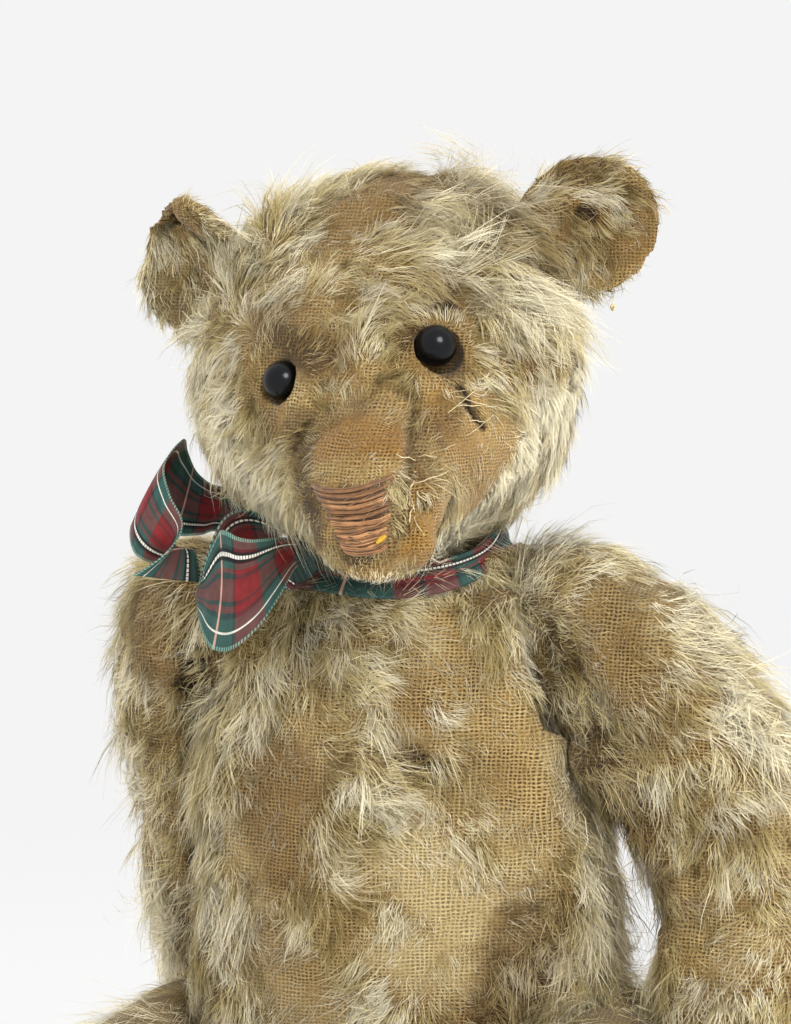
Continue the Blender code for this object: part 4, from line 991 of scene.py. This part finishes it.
        "tuft": [([(0.50, 0.6, 0.95), (0.80, 0.5, 0.72)], 10, 0.7)],
        # painted shade in the hollow against the torso
        "dark": [([(0.08, 0.2, 0.86), (0.20, 0.2, 0.64), (0.30, 0.3, 0.52)], 7, 0.6)],
        "combs": [((0.27, 0.92), (0.5, 0, -0.5)), ((0.45, 0.6, 0.97), (0.95, 0, 0.1)),
                  ((0.1, 0.5, 0.9), (-0.3, 0, 0.6)), ((0.3, 0.6, 0.99), (0.9, 0, -0.1)),
                  ((0.75, 0.6, 0.80), (0.9, 0, -0.3)), ((0.48, 0.74), (0.6, 0, -0.8)),
                  ((0.88, 0.56), (0.7, 0, -0.7)), ((0.65, 0.45), (-0.2, 0, -0.95))],
    },
    "arm_right": {
        "nodes": ["arm_right"], "voxel": 2.3, "plugs": [("shoulder_right", 1, 15)], "lumps": 1.2,
                  "woolly": 1.8, "seed": 31,
        "inset": -1.6, "swell": [([(0.0, 0.4, 0.92), (0.0, 0.4, 0.72)], 18, 5.0),
                                 ([(0.0, 0.5, 0.38), (0.05, 0.6, 0.2)], 20, 4.0)],
        "long": [([(0.0, 0.4, 0.85), (0.0, 0.4, 0.3)], 12, 0.35)],
        "reach": 24, "piles": {"": (everySide, {"locks": 9500, "fill": 21000, "fuzz": 4000})},
        "age": 0.12, "fallback": lambda p: (-0.35, 0.35, -0.9),
        "bare": [([(0.34, 0.90), (0.46, 0.81)], 8, 0.55)],
        "thin": [([(0.3, 0.72), (0.2, 0.5)], 10, 0.3)],
        "stain": [([(0.34, 0.90), (0.46, 0.81)], 10, 0.8)],
        # painted shade in the fold against the torso, with its dent
        "dark": [([(0.68, 0.82), (0.62, 0.62), (0.50, 0.45)], 5.5, 0.95)],
        "dent": [([(0.68, 0.82), (0.62, 0.62), (0.50, 0.45)], 4.5, 1.6)],
        # paler fur; the first stroke, on the arm's outer edge, is partly painted light on its outline
        "pale": [([(0.0, 0.4, 0.8), (0.0, 0.5, 0.55), (0.1, 0.6, 0.3)], 16, 1.3),
                 ([(0.50, 0.44), (0.36, 0.25)], 11, 0.8)],
        "combs": [((0.34, 0.90), (-0.5, 0, -0.7)), ((0.09, 0.55), (-0.55, 0.2, -0.8)),
                  ((0.5, 0.3, 1.0), (-0.6, 0, 0.5))],
    },
    "leg_right": {
        "nodes": ["leg_right"], "voxel": 3.0, "plugs": [("hip_right", 1, 21)], "lumps": 1.2, "woolly": 1.8,
                  "seed": 41, "inset": 0.4,
        "swell": [([(0.55, 0.6, 1.0), (0.45, 0.75, 1.0)], 26, 4.5)], "long": [([(0.5, 0.6, 1.0)], 24, 0.5)],
        "reach": 26, "piles": {"": (everySide, {"locks": 4800, "fill": 9500})},
                  "pale": [([(0.5, 0.6, 1.0)], 34, 1.0)],
        "age": 0.3, "fallback": lambda p: (-0.2, -0.9, -0.3),
                  "combs": [((0.5, 0.8, 0.95), (-0.5, -0.6, -0.3))],
        "bare": [([(0.3, 0.3, 0.85), (0.4, 0.2, 0.9)], 12, 0.85)],
    },
    "leg_left": {
        "nodes": ["leg_left"], "voxel": 3.0, "plugs": [("hip_left", -1, 21)], "lumps": 1.2, "woolly": 1.8,
                 "seed": 51, "inset": 0.4,
        "swell": [([(0.2, 0.7, 1.0), (0.4, 0.65, 1.0)], 26, 12.0)], "long": [([(0.3, 0.7, 1.0)], 24, 0.7)],
        "reach": 26, "piles": {"": (everySide, {"locks": 4800, "fill": 9500})},
                 "pale": [([(0.5, 0.6, 1.0)], 34, 1.0)],
        "age": 0.3, "fallback": lambda p: (0.2, -0.9, -0.3), "combs": [((0.5, 0.8, 0.95), (0.5, -0.6, -0.3))],
        "bare": [([(0.5, 0.5, 1.0), (0.4, 0.35, 0.9)], 12, 0.85)],
    },
    "ear_right": {
        "nodes": ["ear_right"], "voxel": 1.3, "lumps": 0.5, "seed": 61, "reach": 14, "smoothing": 2,
                  "inset": 0.5, "cloth": materials["fine backing"],
        "piles": {"": (everySide, {"locks": 2200, "fill": 7000, "fuzz": 3500})},
        "age": 0.7, "fallback": lambda p: (-0.4, 0, -0.9), "cup": 4.0, "root": (10, 21, 4.0),
                  "shift": (-0.6, 0, -0.8),
        "swell": [([(0.55, 0.5, 0.98), (0.85, 0.5, 0.98)], 6, 1.8), ([(0.1, 0.5, 0.97)], 9, -3.0),
                  ([(0.0, 0.5, 0.35)], 7, 2.0)],
        "short": [([(0.5, 0.5, 0.5)], 30, 0.35)],
        "bare": [([(0.45, 0.97), (0.75, 0.97)], 6, 0.85), ([(0.5, 0.62), (0.62, 0.5)], 6, 0.75),
                 ([(0.16, 0.35), (0.3, 0.2)], 6, 0.7)],
        "dark": [([(0.16, 0.35), (0.3, 0.2)], 7, 0.6), ([(0.5, 0.7), (0.6, 0.45)], 7, 0.55)],
        "stain": [([(0.5, 0.97), (0.75, 0.95)], 6, 0.8)],
        "pale": [([(0.02, 0.5, 0.5), (0.02, 0.5, 0.2)], 6, 0.9),
                 ([(0.2, 0.8), (0.3, 0.5), (0.4, 0.25)], 4, 0.6)],
        "combs": [((0.5, 0.9), (0.5, 0, 0.2)), ((0.2, 0.6), (0.1, 0, -0.9)), ((0.7, 0.4), (0.3, 0, -0.8))],
    },
    "ear_left": {
        "nodes": ["ear_left"], "voxel": 1.3, "lumps": 0.5, "seed": 71, "reach": 14, "smoothing": 2,
                 "inset": 0.5, "cloth": materials["fine backing"],
        "piles": {"": (everySide, {"locks": 1800, "fill": 6500, "fuzz": 5000})},
        "age": 0.7, "fallback": lambda p: (0.3, 0, -0.9), "cup": 3.5, "root": (13, 21, 5.0),
                 "shift": (0, 0, 0),
        "bare": [([(0.98, 0.6), (0.92, 0.3), (0.72, 0.06)], 7, 0.97), ([(0.75, 0.95), (0.95, 0.75)], 5, 0.7),
                 ([(0.35, 0.9), (0.5, 0.95)], 6, 0.6), ([(0.46, 0.62)], 3, 1.0)],
        # mostly painted shade, in the small hole and the cup
        "dark": [([(0.45, 0.60), (0.50, 0.57)], 2.6, 1.0), ([(0.45, 0.85)], 6, 0.4)],
        "stain": [([(0.3, 0.85), (0.6, 0.9)], 7, 0.7), ([(0.1, 0.5), (0.6, 0.4), (0.9, 0.6)], 12, 0.75)],
        "short": [([(0.5, 0.5, 0.5)], 30, 0.5)],
        "ochre": [([(0.98, 0.5), (0.9, 0.25), (0.7, 0.08)], 9, 0.2), ([(0.42, 0.70), (0.56, 0.71)], 4, 0.8)],
        "pale": [([(0.42, 0.72), (0.60, 0.72)], 4, 0.6)],
        "tuft": [([(1.0, 0.5, 0.66)], 3, 1.0)],
        "combs": [((0.55, 0.5), (0.3, 0, -0.9)), ((0.5, 0.9), (0.6, 0, 0.3)),
                  ((1.0, 0.5, 0.66), (0.9, 0, -0.1)),
                  ((0.75, 0.4), (0.4, 0, -0.8)), ((0.7, 0.8), (0.7, 0, 0.1))],
    },
}
bodyOf = {node: body for body, nodes in frame["record"]["behaviour"]["bodies"].items() for node in nodes}
headMiddle = Vector(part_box("head")[0]).lerp(Vector(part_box("head")[1]), 0.5)


def cupEar(skin, form):
    # hollows the ear towards the front, frays its rim and tucks its root under the head's pile
    points = coordinates(skin.data)
    middle = points.mean(0)
    spread, axes = np.linalg.eigh(np.cov((points - middle).T))
    back = axes[:, 0] * np.sign(axes[1, 0])
    flat = (points - middle) - np.outer((points - middle) @ back, back)
    out = np.linalg.norm(flat, axis=1)
    hollow = np.clip(1 - (out / (21 * mm)) ** 2, 0, 1)
    points += np.outer(hollow * form["cup"] * mm, back)
    rim = smoothStep(out, 17 * mm, 21 * mm)
    points += flat * (rim * 0.035 * noiseAt(points, 300, form["seed"]))[:, None]
    start, end, depth = form["root"]
    inward = np.array(headMiddle) - middle
    inward = unit(inward - back * (inward @ back))
    tucked = smoothStep(flat @ inward, start * mm, end * mm)
    points += np.array([0, 1.0, 0]) * (tucked * depth * mm)[:, None] + np.array(form["shift"]) * mm
    moveSkin(skin, points)


skins = {}
for formName, form in forms.items():
    print("making the", formName)
    skin = skinOf(formName + "_skin", form)
    if "cup" in form:
        cupEar(skin, form)
    fields = wearAndShadeSkin(skin, form)
    made = [skin]
    for label, (side, counts) in form["piles"].items():
        pileName = formName + "_pile" + ("_" + label if label else "")
        made.append(growPile(pileName, fields, skin.data, counts, form["seed"] + len(made), side))
    for piece in made:
        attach(piece, bodyOf[formName])
    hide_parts(formName)
    skins[formName] = skin

# eyes
print("making the eyes, nose and pads")
for eyeName, moved, share in (("eye_right", (-0.6, 0, 0.9), 0.91), ("eye_left", (-0.8, 0, 1.8), 0.98)):
    low, high = (Vector(corner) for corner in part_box(eyeName))
    bm = bmesh.new()
    bmesh.ops.create_uvsphere(bm, u_segments=48, v_segments=24, radius=share * (high.z - low.z) / 2)
    bmesh.ops.translate(bm, verts=bm.verts, vec=(low + high) / 2 + Vector(moved) * mm)
    eye = newPiece(eyeName + "_button", meshFrom(bm, eyeName), materials["button"])
    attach(eye, "head")
    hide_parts(eyeName)


# threads
def surfaceOf(skin):
    return BVHTree.FromPolygons([v.co.copy() for v in skin.data.vertices],
                                [p.vertices for p in skin.data.polygons])


def threadPiece(name, runs, material, body):
    # runs: (points, radius, tone); joined as one piece of round thread
    bm = bmesh.new()
    tones = []
    for points, radius, tone in runs:
        curve = bpy.data.curves.new(name, "CURVE")
        curve.dimensions = "3D"
        curve.bevel_depth = radius
        curve.bevel_resolution = 1
        curve.use_fill_caps = True
        line = curve.splines.new("POLY")
        line.points.add(len(points) - 1)
        for index, (point, place) in enumerate(zip(line.points, points)):
            point.co = (*place, 1)
            share = index / max(len(points) - 1, 1)
            point.radius = 0.55 + 0.45 * math.sin(math.pi * min(max(share * 1.0, 0.12), 0.88))
        holder = bpy.data.objects.new(name, curve)
        scene.collection.objects.link(holder)
        mesh = bpy.data.meshes.new_from_object(holder.evaluated_get(bpy.context.evaluated_depsgraph_get()))
        bpy.data.objects.remove(holder)
        tones += [tone] * len(mesh.vertices)
        bm.from_mesh(mesh)
    mesh = meshFrom(bm, name)
    setAttribute(mesh, "tone", np.array(tones))
    piece = newPiece(name, mesh, materials[material])
    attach(piece, body)
    return piece


headFrame = (Matrix.Translation((neck.x - 2 * mm, neck.y - 2 * mm,
                                 254.5 * mm)) @ Matrix.Rotation(math.radians(8), 4, "Z")
             @ Matrix.Rotation(math.radians(-10), 4, "Y") @ Matrix.Rotation(math.radians(12), 4, "X"))
muzzleCloth = surfaceOf(skins["head"])
muzzleWay = (headFrame.to_3x3() @ Vector((0, 1, 0))).normalized()


def onMuzzle(across, up, lift):
    # a place on the muzzle's end, in mm across and up its middle, that far off the cloth
    start = headFrame @ Vector((across * mm, -0.16, up * mm))
    hit, normal, *_ = muzzleCloth.ray_cast(start, muzzleWay)
    if hit is None:
        hit, normal, *_ = muzzleCloth.find_nearest(headFrame @ Vector((across * mm, -0.09, up * mm)))
    return hit + normal * lift * mm


nose = {"rows": 12, "top": -3.6, "height": 17.0, "left": (-15.0, -7.6), "right": (11.6, 5.4), "sag": 1.5,
        "strands": 5, "seed": 5}
rng = np.random.default_rng(nose["seed"])
runs = []
for row in range(nose["rows"]):
    share = row / (nose["rows"] - 1)
    left = nose["left"][0] + (nose["left"][1] - nose["left"][0]) * share ** 0.8 + rng.normal(0, 0.3)
    right = nose["right"][0] + (nose["right"][1] - nose["right"][0]) * share ** 0.8 + rng.normal(0, 0.3)
    up = nose["top"] - share * nose["height"] + rng.normal(0, 0.1)
    tilt = rng.normal(0, 0.25)
    tone = rng.uniform(0.25, 0.75)
    for strand in range(nose["strands"]):
        spread = strand / (nose["strands"] - 1) * 2 - 1
        wander = rng.uniform(0, 6.28)
        points = []
        for step in range(15):
            t = step / 14 * 2 - 1
            sag = nose["sag"] * (1 - t * t)
            rise = 0.95 * math.sqrt(1.05 - spread * spread) * (1 - t ** 6) - 0.35 * t ** 8
            across = (left + right) / 2 + t * (right - left) / 2
            points.append(onMuzzle(across,
                                   up - sag + t * tilt + 0.62 * spread + 0.1 * math.sin(wander + 3 * t),
                                   rise - 0.1))
        # the upper strands of each row are a little lighter and the lower ones darker: painted light and shade on
        # the rounded row
        runs.append((points, 0.27 * mm, min(1, max(0, tone + 0.12 * spread + rng.normal(0, 0.22)))))
for _ in range(5):
    start, end = rng.uniform(-9, 9, 2)
    up = nose["top"] - rng.uniform(1, nose["height"] - 3)
    points = [onMuzzle(start - 1 + (end - start) * t, up - 2.5 * t, 1.25 - 1.2 * (2 * t - 1) ** 4)
              for t in np.linspace(0, 1, 9)]
    runs.append((points, 0.2 * mm, rng.random()))
floss = threadPiece("nose_floss", runs, "floss", "head")
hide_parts("nose_stitching")
points = [onMuzzle(2.6 + 2.6 * t, -19.6 + 1.8 * t, 1.0 + 0.4 * math.sin(math.pi * t)) for t in np.linspace(0,
    1, 7)]
threadPiece("nose_thread_end", [(points, 0.75 * mm, 0.5)], "mustard", "head")


def headSpot(spot, lift=0.0):
    place = Vector(spotOn(muzzleCloth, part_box("head"), spot))
    hit, normal, *_ = muzzleCloth.find_nearest(place)
    return hit + normal * lift * mm


# the torn place under the left eye, its edges held by a few pale threads, and the darn by the nose
tear = [headSpot((0.806 + 0.054 * t + 0.006 * math.sin(7 * t), 0.48 - 0.12 * t), 0.3) for t in np.linspace(0,
    1, 14)]
# a dark thread in the slit: the stuffing, painted dark as the shade inside the tear
threadPiece("cheek_tear", [(tear, 0.55 * mm, 0.5)], "hollow", "head")
runs = []
for index in range(6):
    share = (index + rng.uniform(0, 0.8)) / 6
    middle = (0.81 + 0.05 * share + rng.normal(0, 0.006), 0.475 - 0.115 * share + rng.normal(0, 0.006))
    reach = (0.022 + rng.uniform(-0.008, 0.014), rng.normal(0.004, 0.02))
    points = [headSpot((middle[0] + reach[0] * t, middle[1] + reach[1] * t), 0.5 + 0.4 * (1 - t * t))
              for t in np.linspace(-1, 1, 7)]
    runs.append((points, rng.uniform(0.08, 0.16) * mm, rng.random()))
for index in range(9):
    start = (0.755 + rng.normal(0, 0.012), 0.15 + 0.02 * index + rng.normal(0, 0.01))
    end = (start[0] + rng.normal(0.01, 0.02), start[1] + rng.uniform(-0.05, 0.03))
    points = [headSpot((start[0] + (end[0] - start[0]) * t, start[1] + (end[1] - start[1]) * t),
                       0.3 + 2.2 * t * t)
              for t in np.linspace(0, 1, 7)]
    runs.append((points, rng.uniform(0.12, 0.25) * mm, rng.random()))
threadPiece("cheek_threads", runs, "cotton", "head")

# a knotted end of thread that hangs from the left ear's rim
hangFrom = Vector(spotOn(surfaceOf(skins["ear_left"]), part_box("ear_left"), (0.70, 0.5, 0.02)))
hangTo = hangFrom + Vector((0.6, -0.5, -4.2)) * mm
points = [hangFrom.lerp(hangTo, t) + Vector((0.5 * math.sin(4 * t), 0, 0)) * mm for t in np.linspace(0, 1, 8)]
bead = [hangTo + Vector((0.55 * math.cos(a) * (1 - i / 40), 0.35 * math.sin(2 * a),
                         -0.8 + 0.75 * math.sin(a))) * mm
        for i, a in enumerate(np.linspace(0, 15, 26))]
threadPiece("ear_thread", [(points, 0.16 * mm, 0.4), (bead, 0.42 * mm, 0.3)], "cotton", "head")

# felt pads
for padName in ("paw_pad_right", "paw_pad_left", "foot_pad_right", "foot_pad_left"):
    form = {"nodes": [padName], "voxel": 0.9 if padName.startswith("paw") else 1.1,
            "cloth": materials["felt"], "smoothing": 2}
    pad = skinOf(padName + "_felt", form)
    points, normals = coordinates(pad.data), vertexNormals(pad.data)
    moveSkin(pad, points + normals * (0.3 * mm * noiseAt(points, 120, 4))[:, None])
    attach(pad, bodyOf[padName])
    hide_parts(padName)

# joint hardware
for node in frame["nodes"].values():
    for materialSlot in node.material_slots:
        if not materialSlot.material:
            continue
        chosen = slotMaterials.get(materialSlot.material.name.split(".")[0])
        if chosen in ("steel", "board"):
            materialSlot.material = materials[chosen]

# the ribbon
print("tying the ribbon")
# the upper and lower edge at each station, in metres from the neck; a separate script worked
# them out from one view, so they follow no rule
tailStations = (
    ((-0.0200, -0.0370, 0.2070), (-0.0220, -0.0360, 0.1940)),
                ((-0.0330, -0.0310, 0.2120), (-0.0345, -0.0310, 0.2010)),
    ((-0.0440, -0.0251, 0.2219), (-0.0466, -0.0279, 0.2100)),
                ((-0.0519, -0.0211, 0.2240), (-0.0537, -0.0248, 0.2090)),
    ((-0.0572, -0.0184, 0.2275), (-0.0612, -0.0237, 0.2085)),
                ((-0.0600, -0.0175, 0.2330), (-0.0680, -0.0255, 0.2100)),
    ((-0.0590, -0.0246, 0.2370), (-0.0710, -0.0348, 0.2130)),
                ((-0.0608, -0.0362, 0.2304), (-0.0695, -0.0425, 0.2085)),
    ((-0.0575, -0.0413, 0.2224), (-0.0655, -0.0457, 0.2040)),
                ((-0.0527, -0.0434, 0.2138), (-0.0609, -0.0395, 0.2021)),
    ((-0.0559, -0.0502, 0.2061), (-0.0523, -0.0367, 0.2058)),
                ((-0.0630, -0.0581, 0.2000), (-0.0478, -0.0425, 0.1970)),
)
loopStations = (
    ((-0.0173, -0.0430, 0.2101), (-0.0174, -0.0426, 0.2037)),
                ((-0.0183, -0.0505, 0.2113), (-0.0180, -0.0481, 0.2017)),
    ((-0.0201, -0.0572, 0.2120), (-0.0183, -0.0537, 0.1984)),
                ((-0.0227, -0.0616, 0.2120), (-0.0205, -0.0580, 0.1931)),
    ((-0.0258, -0.0641, 0.2120), (-0.0240, -0.0617, 0.1868)),
                ((-0.0296, -0.0646, 0.2127), (-0.0293, -0.0637, 0.1816)),
    ((-0.0332, -0.0639, 0.2142), (-0.0341, -0.0631, 0.1795)),
                ((-0.0365, -0.0603, 0.2131), (-0.0390, -0.0613, 0.1806)),
    ((-0.0406, -0.0580, 0.2052), (-0.0423, -0.0587, 0.1856)),
                ((-0.0434, -0.0557, 0.1986), (-0.0468, -0.0469, 0.1912)),
    ((-0.0436, -0.0488, 0.2061), (-0.0431, -0.0415, 0.1927)),
                ((-0.0396, -0.0457, 0.2162), (-0.0375, -0.0381, 0.2015)),
    ((-0.0336, -0.0417, 0.2182), (-0.0314, -0.0361, 0.2047)),
                ((-0.0253, -0.0386, 0.2146), (-0.0256, -0.0354, 0.2054)),
)


def curveThrough(stations, share):
    # a smooth curve through the stations
    at = min(share * (len(stations) - 1), len(stations) - 1.0001)
    index, t = int(at), at - int(at)
    a, b, c, d = (np.array(stations[min(max(index + step, 0), len(stations) - 1)]) for step in (-1, 0, 1, 2))
    return 0.5 * (2 * b + (c - a) * t + (2 * a - 5 * b + 4 * c - d) * t ** 2 + (3 * b - 3 * c + d - a)
                  * t ** 3)


def ribbonPiece(name, placeAt, segments, length, start=0.0):
    # placeAt turns shares along and across the ribbon into a place
    bm = bmesh.new()
    layer = bm.loops.layers.uv.new("cloth")
    bmesh.ops.create_grid(bm, x_segments=segments[0], y_segments=segments[1], size=0.5)
    shares = {vert: (vert.co.x + 0.5, vert.co.y + 0.5) for vert in bm.verts}
    for face in bm.faces:
        for loop in face.loops:
            along, across = shares[loop.vert]
            loop[layer].uv = (start + along * length, across * ribbonWidth * mm)
    for vert, (along, across) in shares.items():
        vert.co = placeAt(along, across)
    piece = newPiece(name, meshFrom(bm, name), materials["tartan"])
    thick = piece.modifiers.new("cloth", "SOLIDIFY")
    thick.thickness = 0.4 * mm
    thick.offset = 0
    applyModifiers(piece)
    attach(piece, "torso")
    return piece


middleOfNeck = np.array([neck.x, neck.y, 0])


def loftPlace(stations, belly, flip):
    uppers, lowers = [s[0] for s in stations], [s[1] for s in stations]

    def place(along, across):
        upper, lower = curveThrough(uppers, along), curveThrough(lowers, along)
        ahead = curveThrough(uppers, min(along + 0.01, 1)) - curveThrough(uppers, max(along - 0.01, 0))
        outwards = unit(np.cross(ahead, upper - lower))
        share = 1 - across if flip else across
        crease = math.sin(math.pi * share) * belly + 0.5 * noise.noise(Vector((along * 7, across * 2.5,
            belly)))
        return Vector(lower + (upper - lower) * share + outwards * crease * mm + middleOfNeck)

    return place


def bandPlace(along, across):
    # the turn round the neck: folded lengthwise, its upper part lying over its lower one
    widths = (0.0, 0.155, 0.18, 0.34, 0.37, 0.59, 0.62, 0.965, 0.98, 0.99, 1.0)
    height = np.interp(across, widths, (0.3, 0.03, 0.0, 0.50, 0.55, 0.50, 0.42, 1.0, 1.0, 0.96, 0.6))
    inset = np.interp(across, widths, (1.6, 1.2, 0.5, 0.5, 1.5, 1.5, 0.0, 0.0, 0.6, 1.2, 1.5))
    angle = math.radians(-118) + along * math.radians(360)
    raised = math.exp(-(((math.degrees(angle) - 32 + 180) % 360 - 180) / 40) ** 2)
    height += (1 - height) * 0.42 * math.exp(-((math.degrees(angle) + 12) / 34) ** 2)
    behind = max(0.0, math.sin(angle)) ** 0.5
    sunk = (2.2 * raised + 5.0 * behind) * mm
    radii = [np.interp(height, (0, 1), pair) - inset * mm - sunk for pair in ((0.0392, 0.0306),
        (0.0358, 0.0292))]
    lifted = math.exp(-(((math.degrees(angle) + 128 + 180) % 360 - 180) / 36) ** 2)
    z = np.interp(height, (0, 1),
                  (0.1912, 0.2010)) + 0.0045 * math.cos(angle) + 0.0135 * raised + 0.006 * lifted
    ripple = 0.5 * mm * noise.noise(Vector((math.cos(angle) * 3, math.sin(angle) * 3, height * 1.5)))
    return Vector((neck.x + (radii[0] + ripple) * math.cos(angle),
                   neck.y + (radii[1] + ripple) * math.sin(angle), z))


band = ribbonPiece("ribbon_band", bandPlace, (110, 34), 0.232, 0.047)
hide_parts("neck_ribbon")
tail = ribbonPiece("ribbon_tail", loftPlace(tailStations, 1.0, True), (110, 12), 0.125, 0.010)
loop = ribbonPiece("ribbon_loop", loftPlace(loopStations, 1.2, False), (100, 14), 0.088, 0.012)

# the knot: its UV falls on the black warp and teal weft, so that it is painted dark as the shade under the chin
bm = bmesh.new()
layer = bm.loops.layers.uv.new("cloth")
bmesh.ops.create_uvsphere(bm, u_segments=28, v_segments=18, radius=1.0)
for face in bm.faces:
    for corner in face.loops:
        corner[layer].uv = (0.003 + 0.003 * corner.vert.co.x, 0.0262 + 0.0004 * corner.vert.co.z)
for vert in bm.verts:
    pinch = 1 + 0.12 * noise.noise(vert.co * 2.2) + 0.08 * math.sin(9 * vert.co.y + 3 * vert.co.z)
    vert.co = Vector((vert.co.x * 6.0, vert.co.y * 7.5, vert.co.z * 7.0)) * pinch * mm
    vert.co += Vector((neck.x - 0.0184, neck.y - 0.0384, 0.2052))
knot = newPiece("ribbon_knot", meshFrom(bm, "ribbon_knot"), materials["tartan"])
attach(knot, "torso")

# floor, light and camera
stageSettings = {"colour": "F4F4F4", "nearShare": 0.93, "farShare": 1.0, "floorSize": 60.0}


def paleStage():
    # matt paper: it shows its own pale colour to the camera, and keeps a little of the shadow
    material, tree, shader = newMaterial("pale studio paper")
    shader.inputs["Base Color"].default_value = hexColour(stageSettings["colour"])
    shader.inputs["Roughness"].default_value = 1.0
    path = addNode(tree, "LightPath")
    seen = path.outputs["Is Camera Ray"]
    for name in ("Is Glossy Ray", "Is Transmission Ray"):
        seen = mathNode(tree, "MAXIMUM", seen, path.outputs[name])
    place = addNode(tree, "TexCoord").outputs["Object"]
    out = addNode(tree, "VectorMath", {"operation": "LENGTH"}, {0: place}).outputs["Value"]
    own = addNode(tree, "MapRange", {"interpolation_type": "SMOOTHSTEP"},
                  {"Value": out, "From Min": 0.15, "From Max": 0.9, "To Min": stageSettings["nearShare"],
                   "To Max": stageSettings["farShare"]}).outputs[0]
    share = mathNode(tree, "MULTIPLY", seen, own)
    glow = addNode(tree, "Emission", {}, {"Color": hexColour(stageSettings["colour"])}).outputs[0]
    both = addNode(tree, "MixShader", {}, {0: share, 1: shader.outputs[0], 2: glow}).outputs[0]
    tree.links.new(both, tree.nodes["Material Output"].inputs[0])
    return material


print("setting the stage")
bm = bmesh.new()
bmesh.ops.create_grid(bm, x_segments=1, y_segments=1, size=stageSettings["floorSize"] / 2)
floor = newPiece("floor", meshFrom(bm, "floor", False), paleStage())

world = bpy.data.worlds.new("soft studio")
scene.world = world
world.use_nodes = True
worldTree = world.node_tree
background = worldTree.nodes["Background"]
path = addNode(worldTree, "LightPath")
seen = path.outputs["Is Camera Ray"]
for rayName in ("Is Glossy Ray", "Is Transmission Ray"):
    seen = addNode(worldTree, "Math", {"operation": "MAXIMUM"},
                   {0: seen, 1: path.outputs[rayName]}).outputs[0]
strength = addNode(worldTree, "MapRange", {}, {"Value": seen, "To Min": 0.62, "To Max": 1.0}).outputs[0]
worldTree.links.new(strength, background.inputs["Strength"])
background.inputs["Color"].default_value = hexColour(stageSettings["colour"])

view = {"azimuth": 16.0, "elevation": 5.0, "distance": 1.4, "height": 0.215, "shift": -1.3, "tall": 0.302}
azimuth, elevation = math.radians(view["azimuth"]), math.radians(view["elevation"])
target = Vector((neck.x, neck.y, view["height"])) + Vector((math.cos(azimuth), math.sin(azimuth),
                                                            0)) * view["shift"] * mm
away = Vector((math.sin(azimuth) * math.cos(elevation), -math.cos(azimuth) * math.cos(elevation),
               math.sin(elevation)))
camera = bpy.data.objects.new("camera", bpy.data.cameras.new("camera"))
scene.collection.objects.link(camera)
camera.location = target + away * view["distance"]
camera.rotation_euler = (target - camera.location).to_track_quat("-Z", "Y").to_euler()
camera.data.sensor_width = 36
camera.data.lens = 36 * view["distance"] / view["tall"]
scene.camera = camera

for lampName, place, size, power in (
    ("key", (0.85, -0.95, 1.1), 0.7, 17.0),
    ("fill", (-1.1, -1.0, 0.6), 1.0, 10.0),
    ("low", (0.9, -0.8, 0.12), 0.9, 8.0),
    ("top", (-0.2, 0.5, 1.35), 0.9, 14.0),
    ("back", (0.2, 1.5, 0.7), 1.6, 14.0),
    ("right rim", (1.25, 0.75, 0.5), 1.2, 13.0),
    ("left rim", (-1.25, 0.85, 0.5), 1.2, 13.0),
):
    lamp = bpy.data.lights.new(lampName, "AREA")
    lamp.energy = power
    lamp.shape = "DISK"
    lamp.size = size
    holder = bpy.data.objects.new(lampName, lamp)
    scene.collection.objects.link(holder)
    holder.visible_glossy = lampName == "key"
    holder.location = Vector((neck.x, neck.y, 0)) + Vector(place)
    holder.rotation_euler = (target - holder.location).to_track_quat("-Z", "Y").to_euler()

scene.view_settings.view_transform = "Standard"
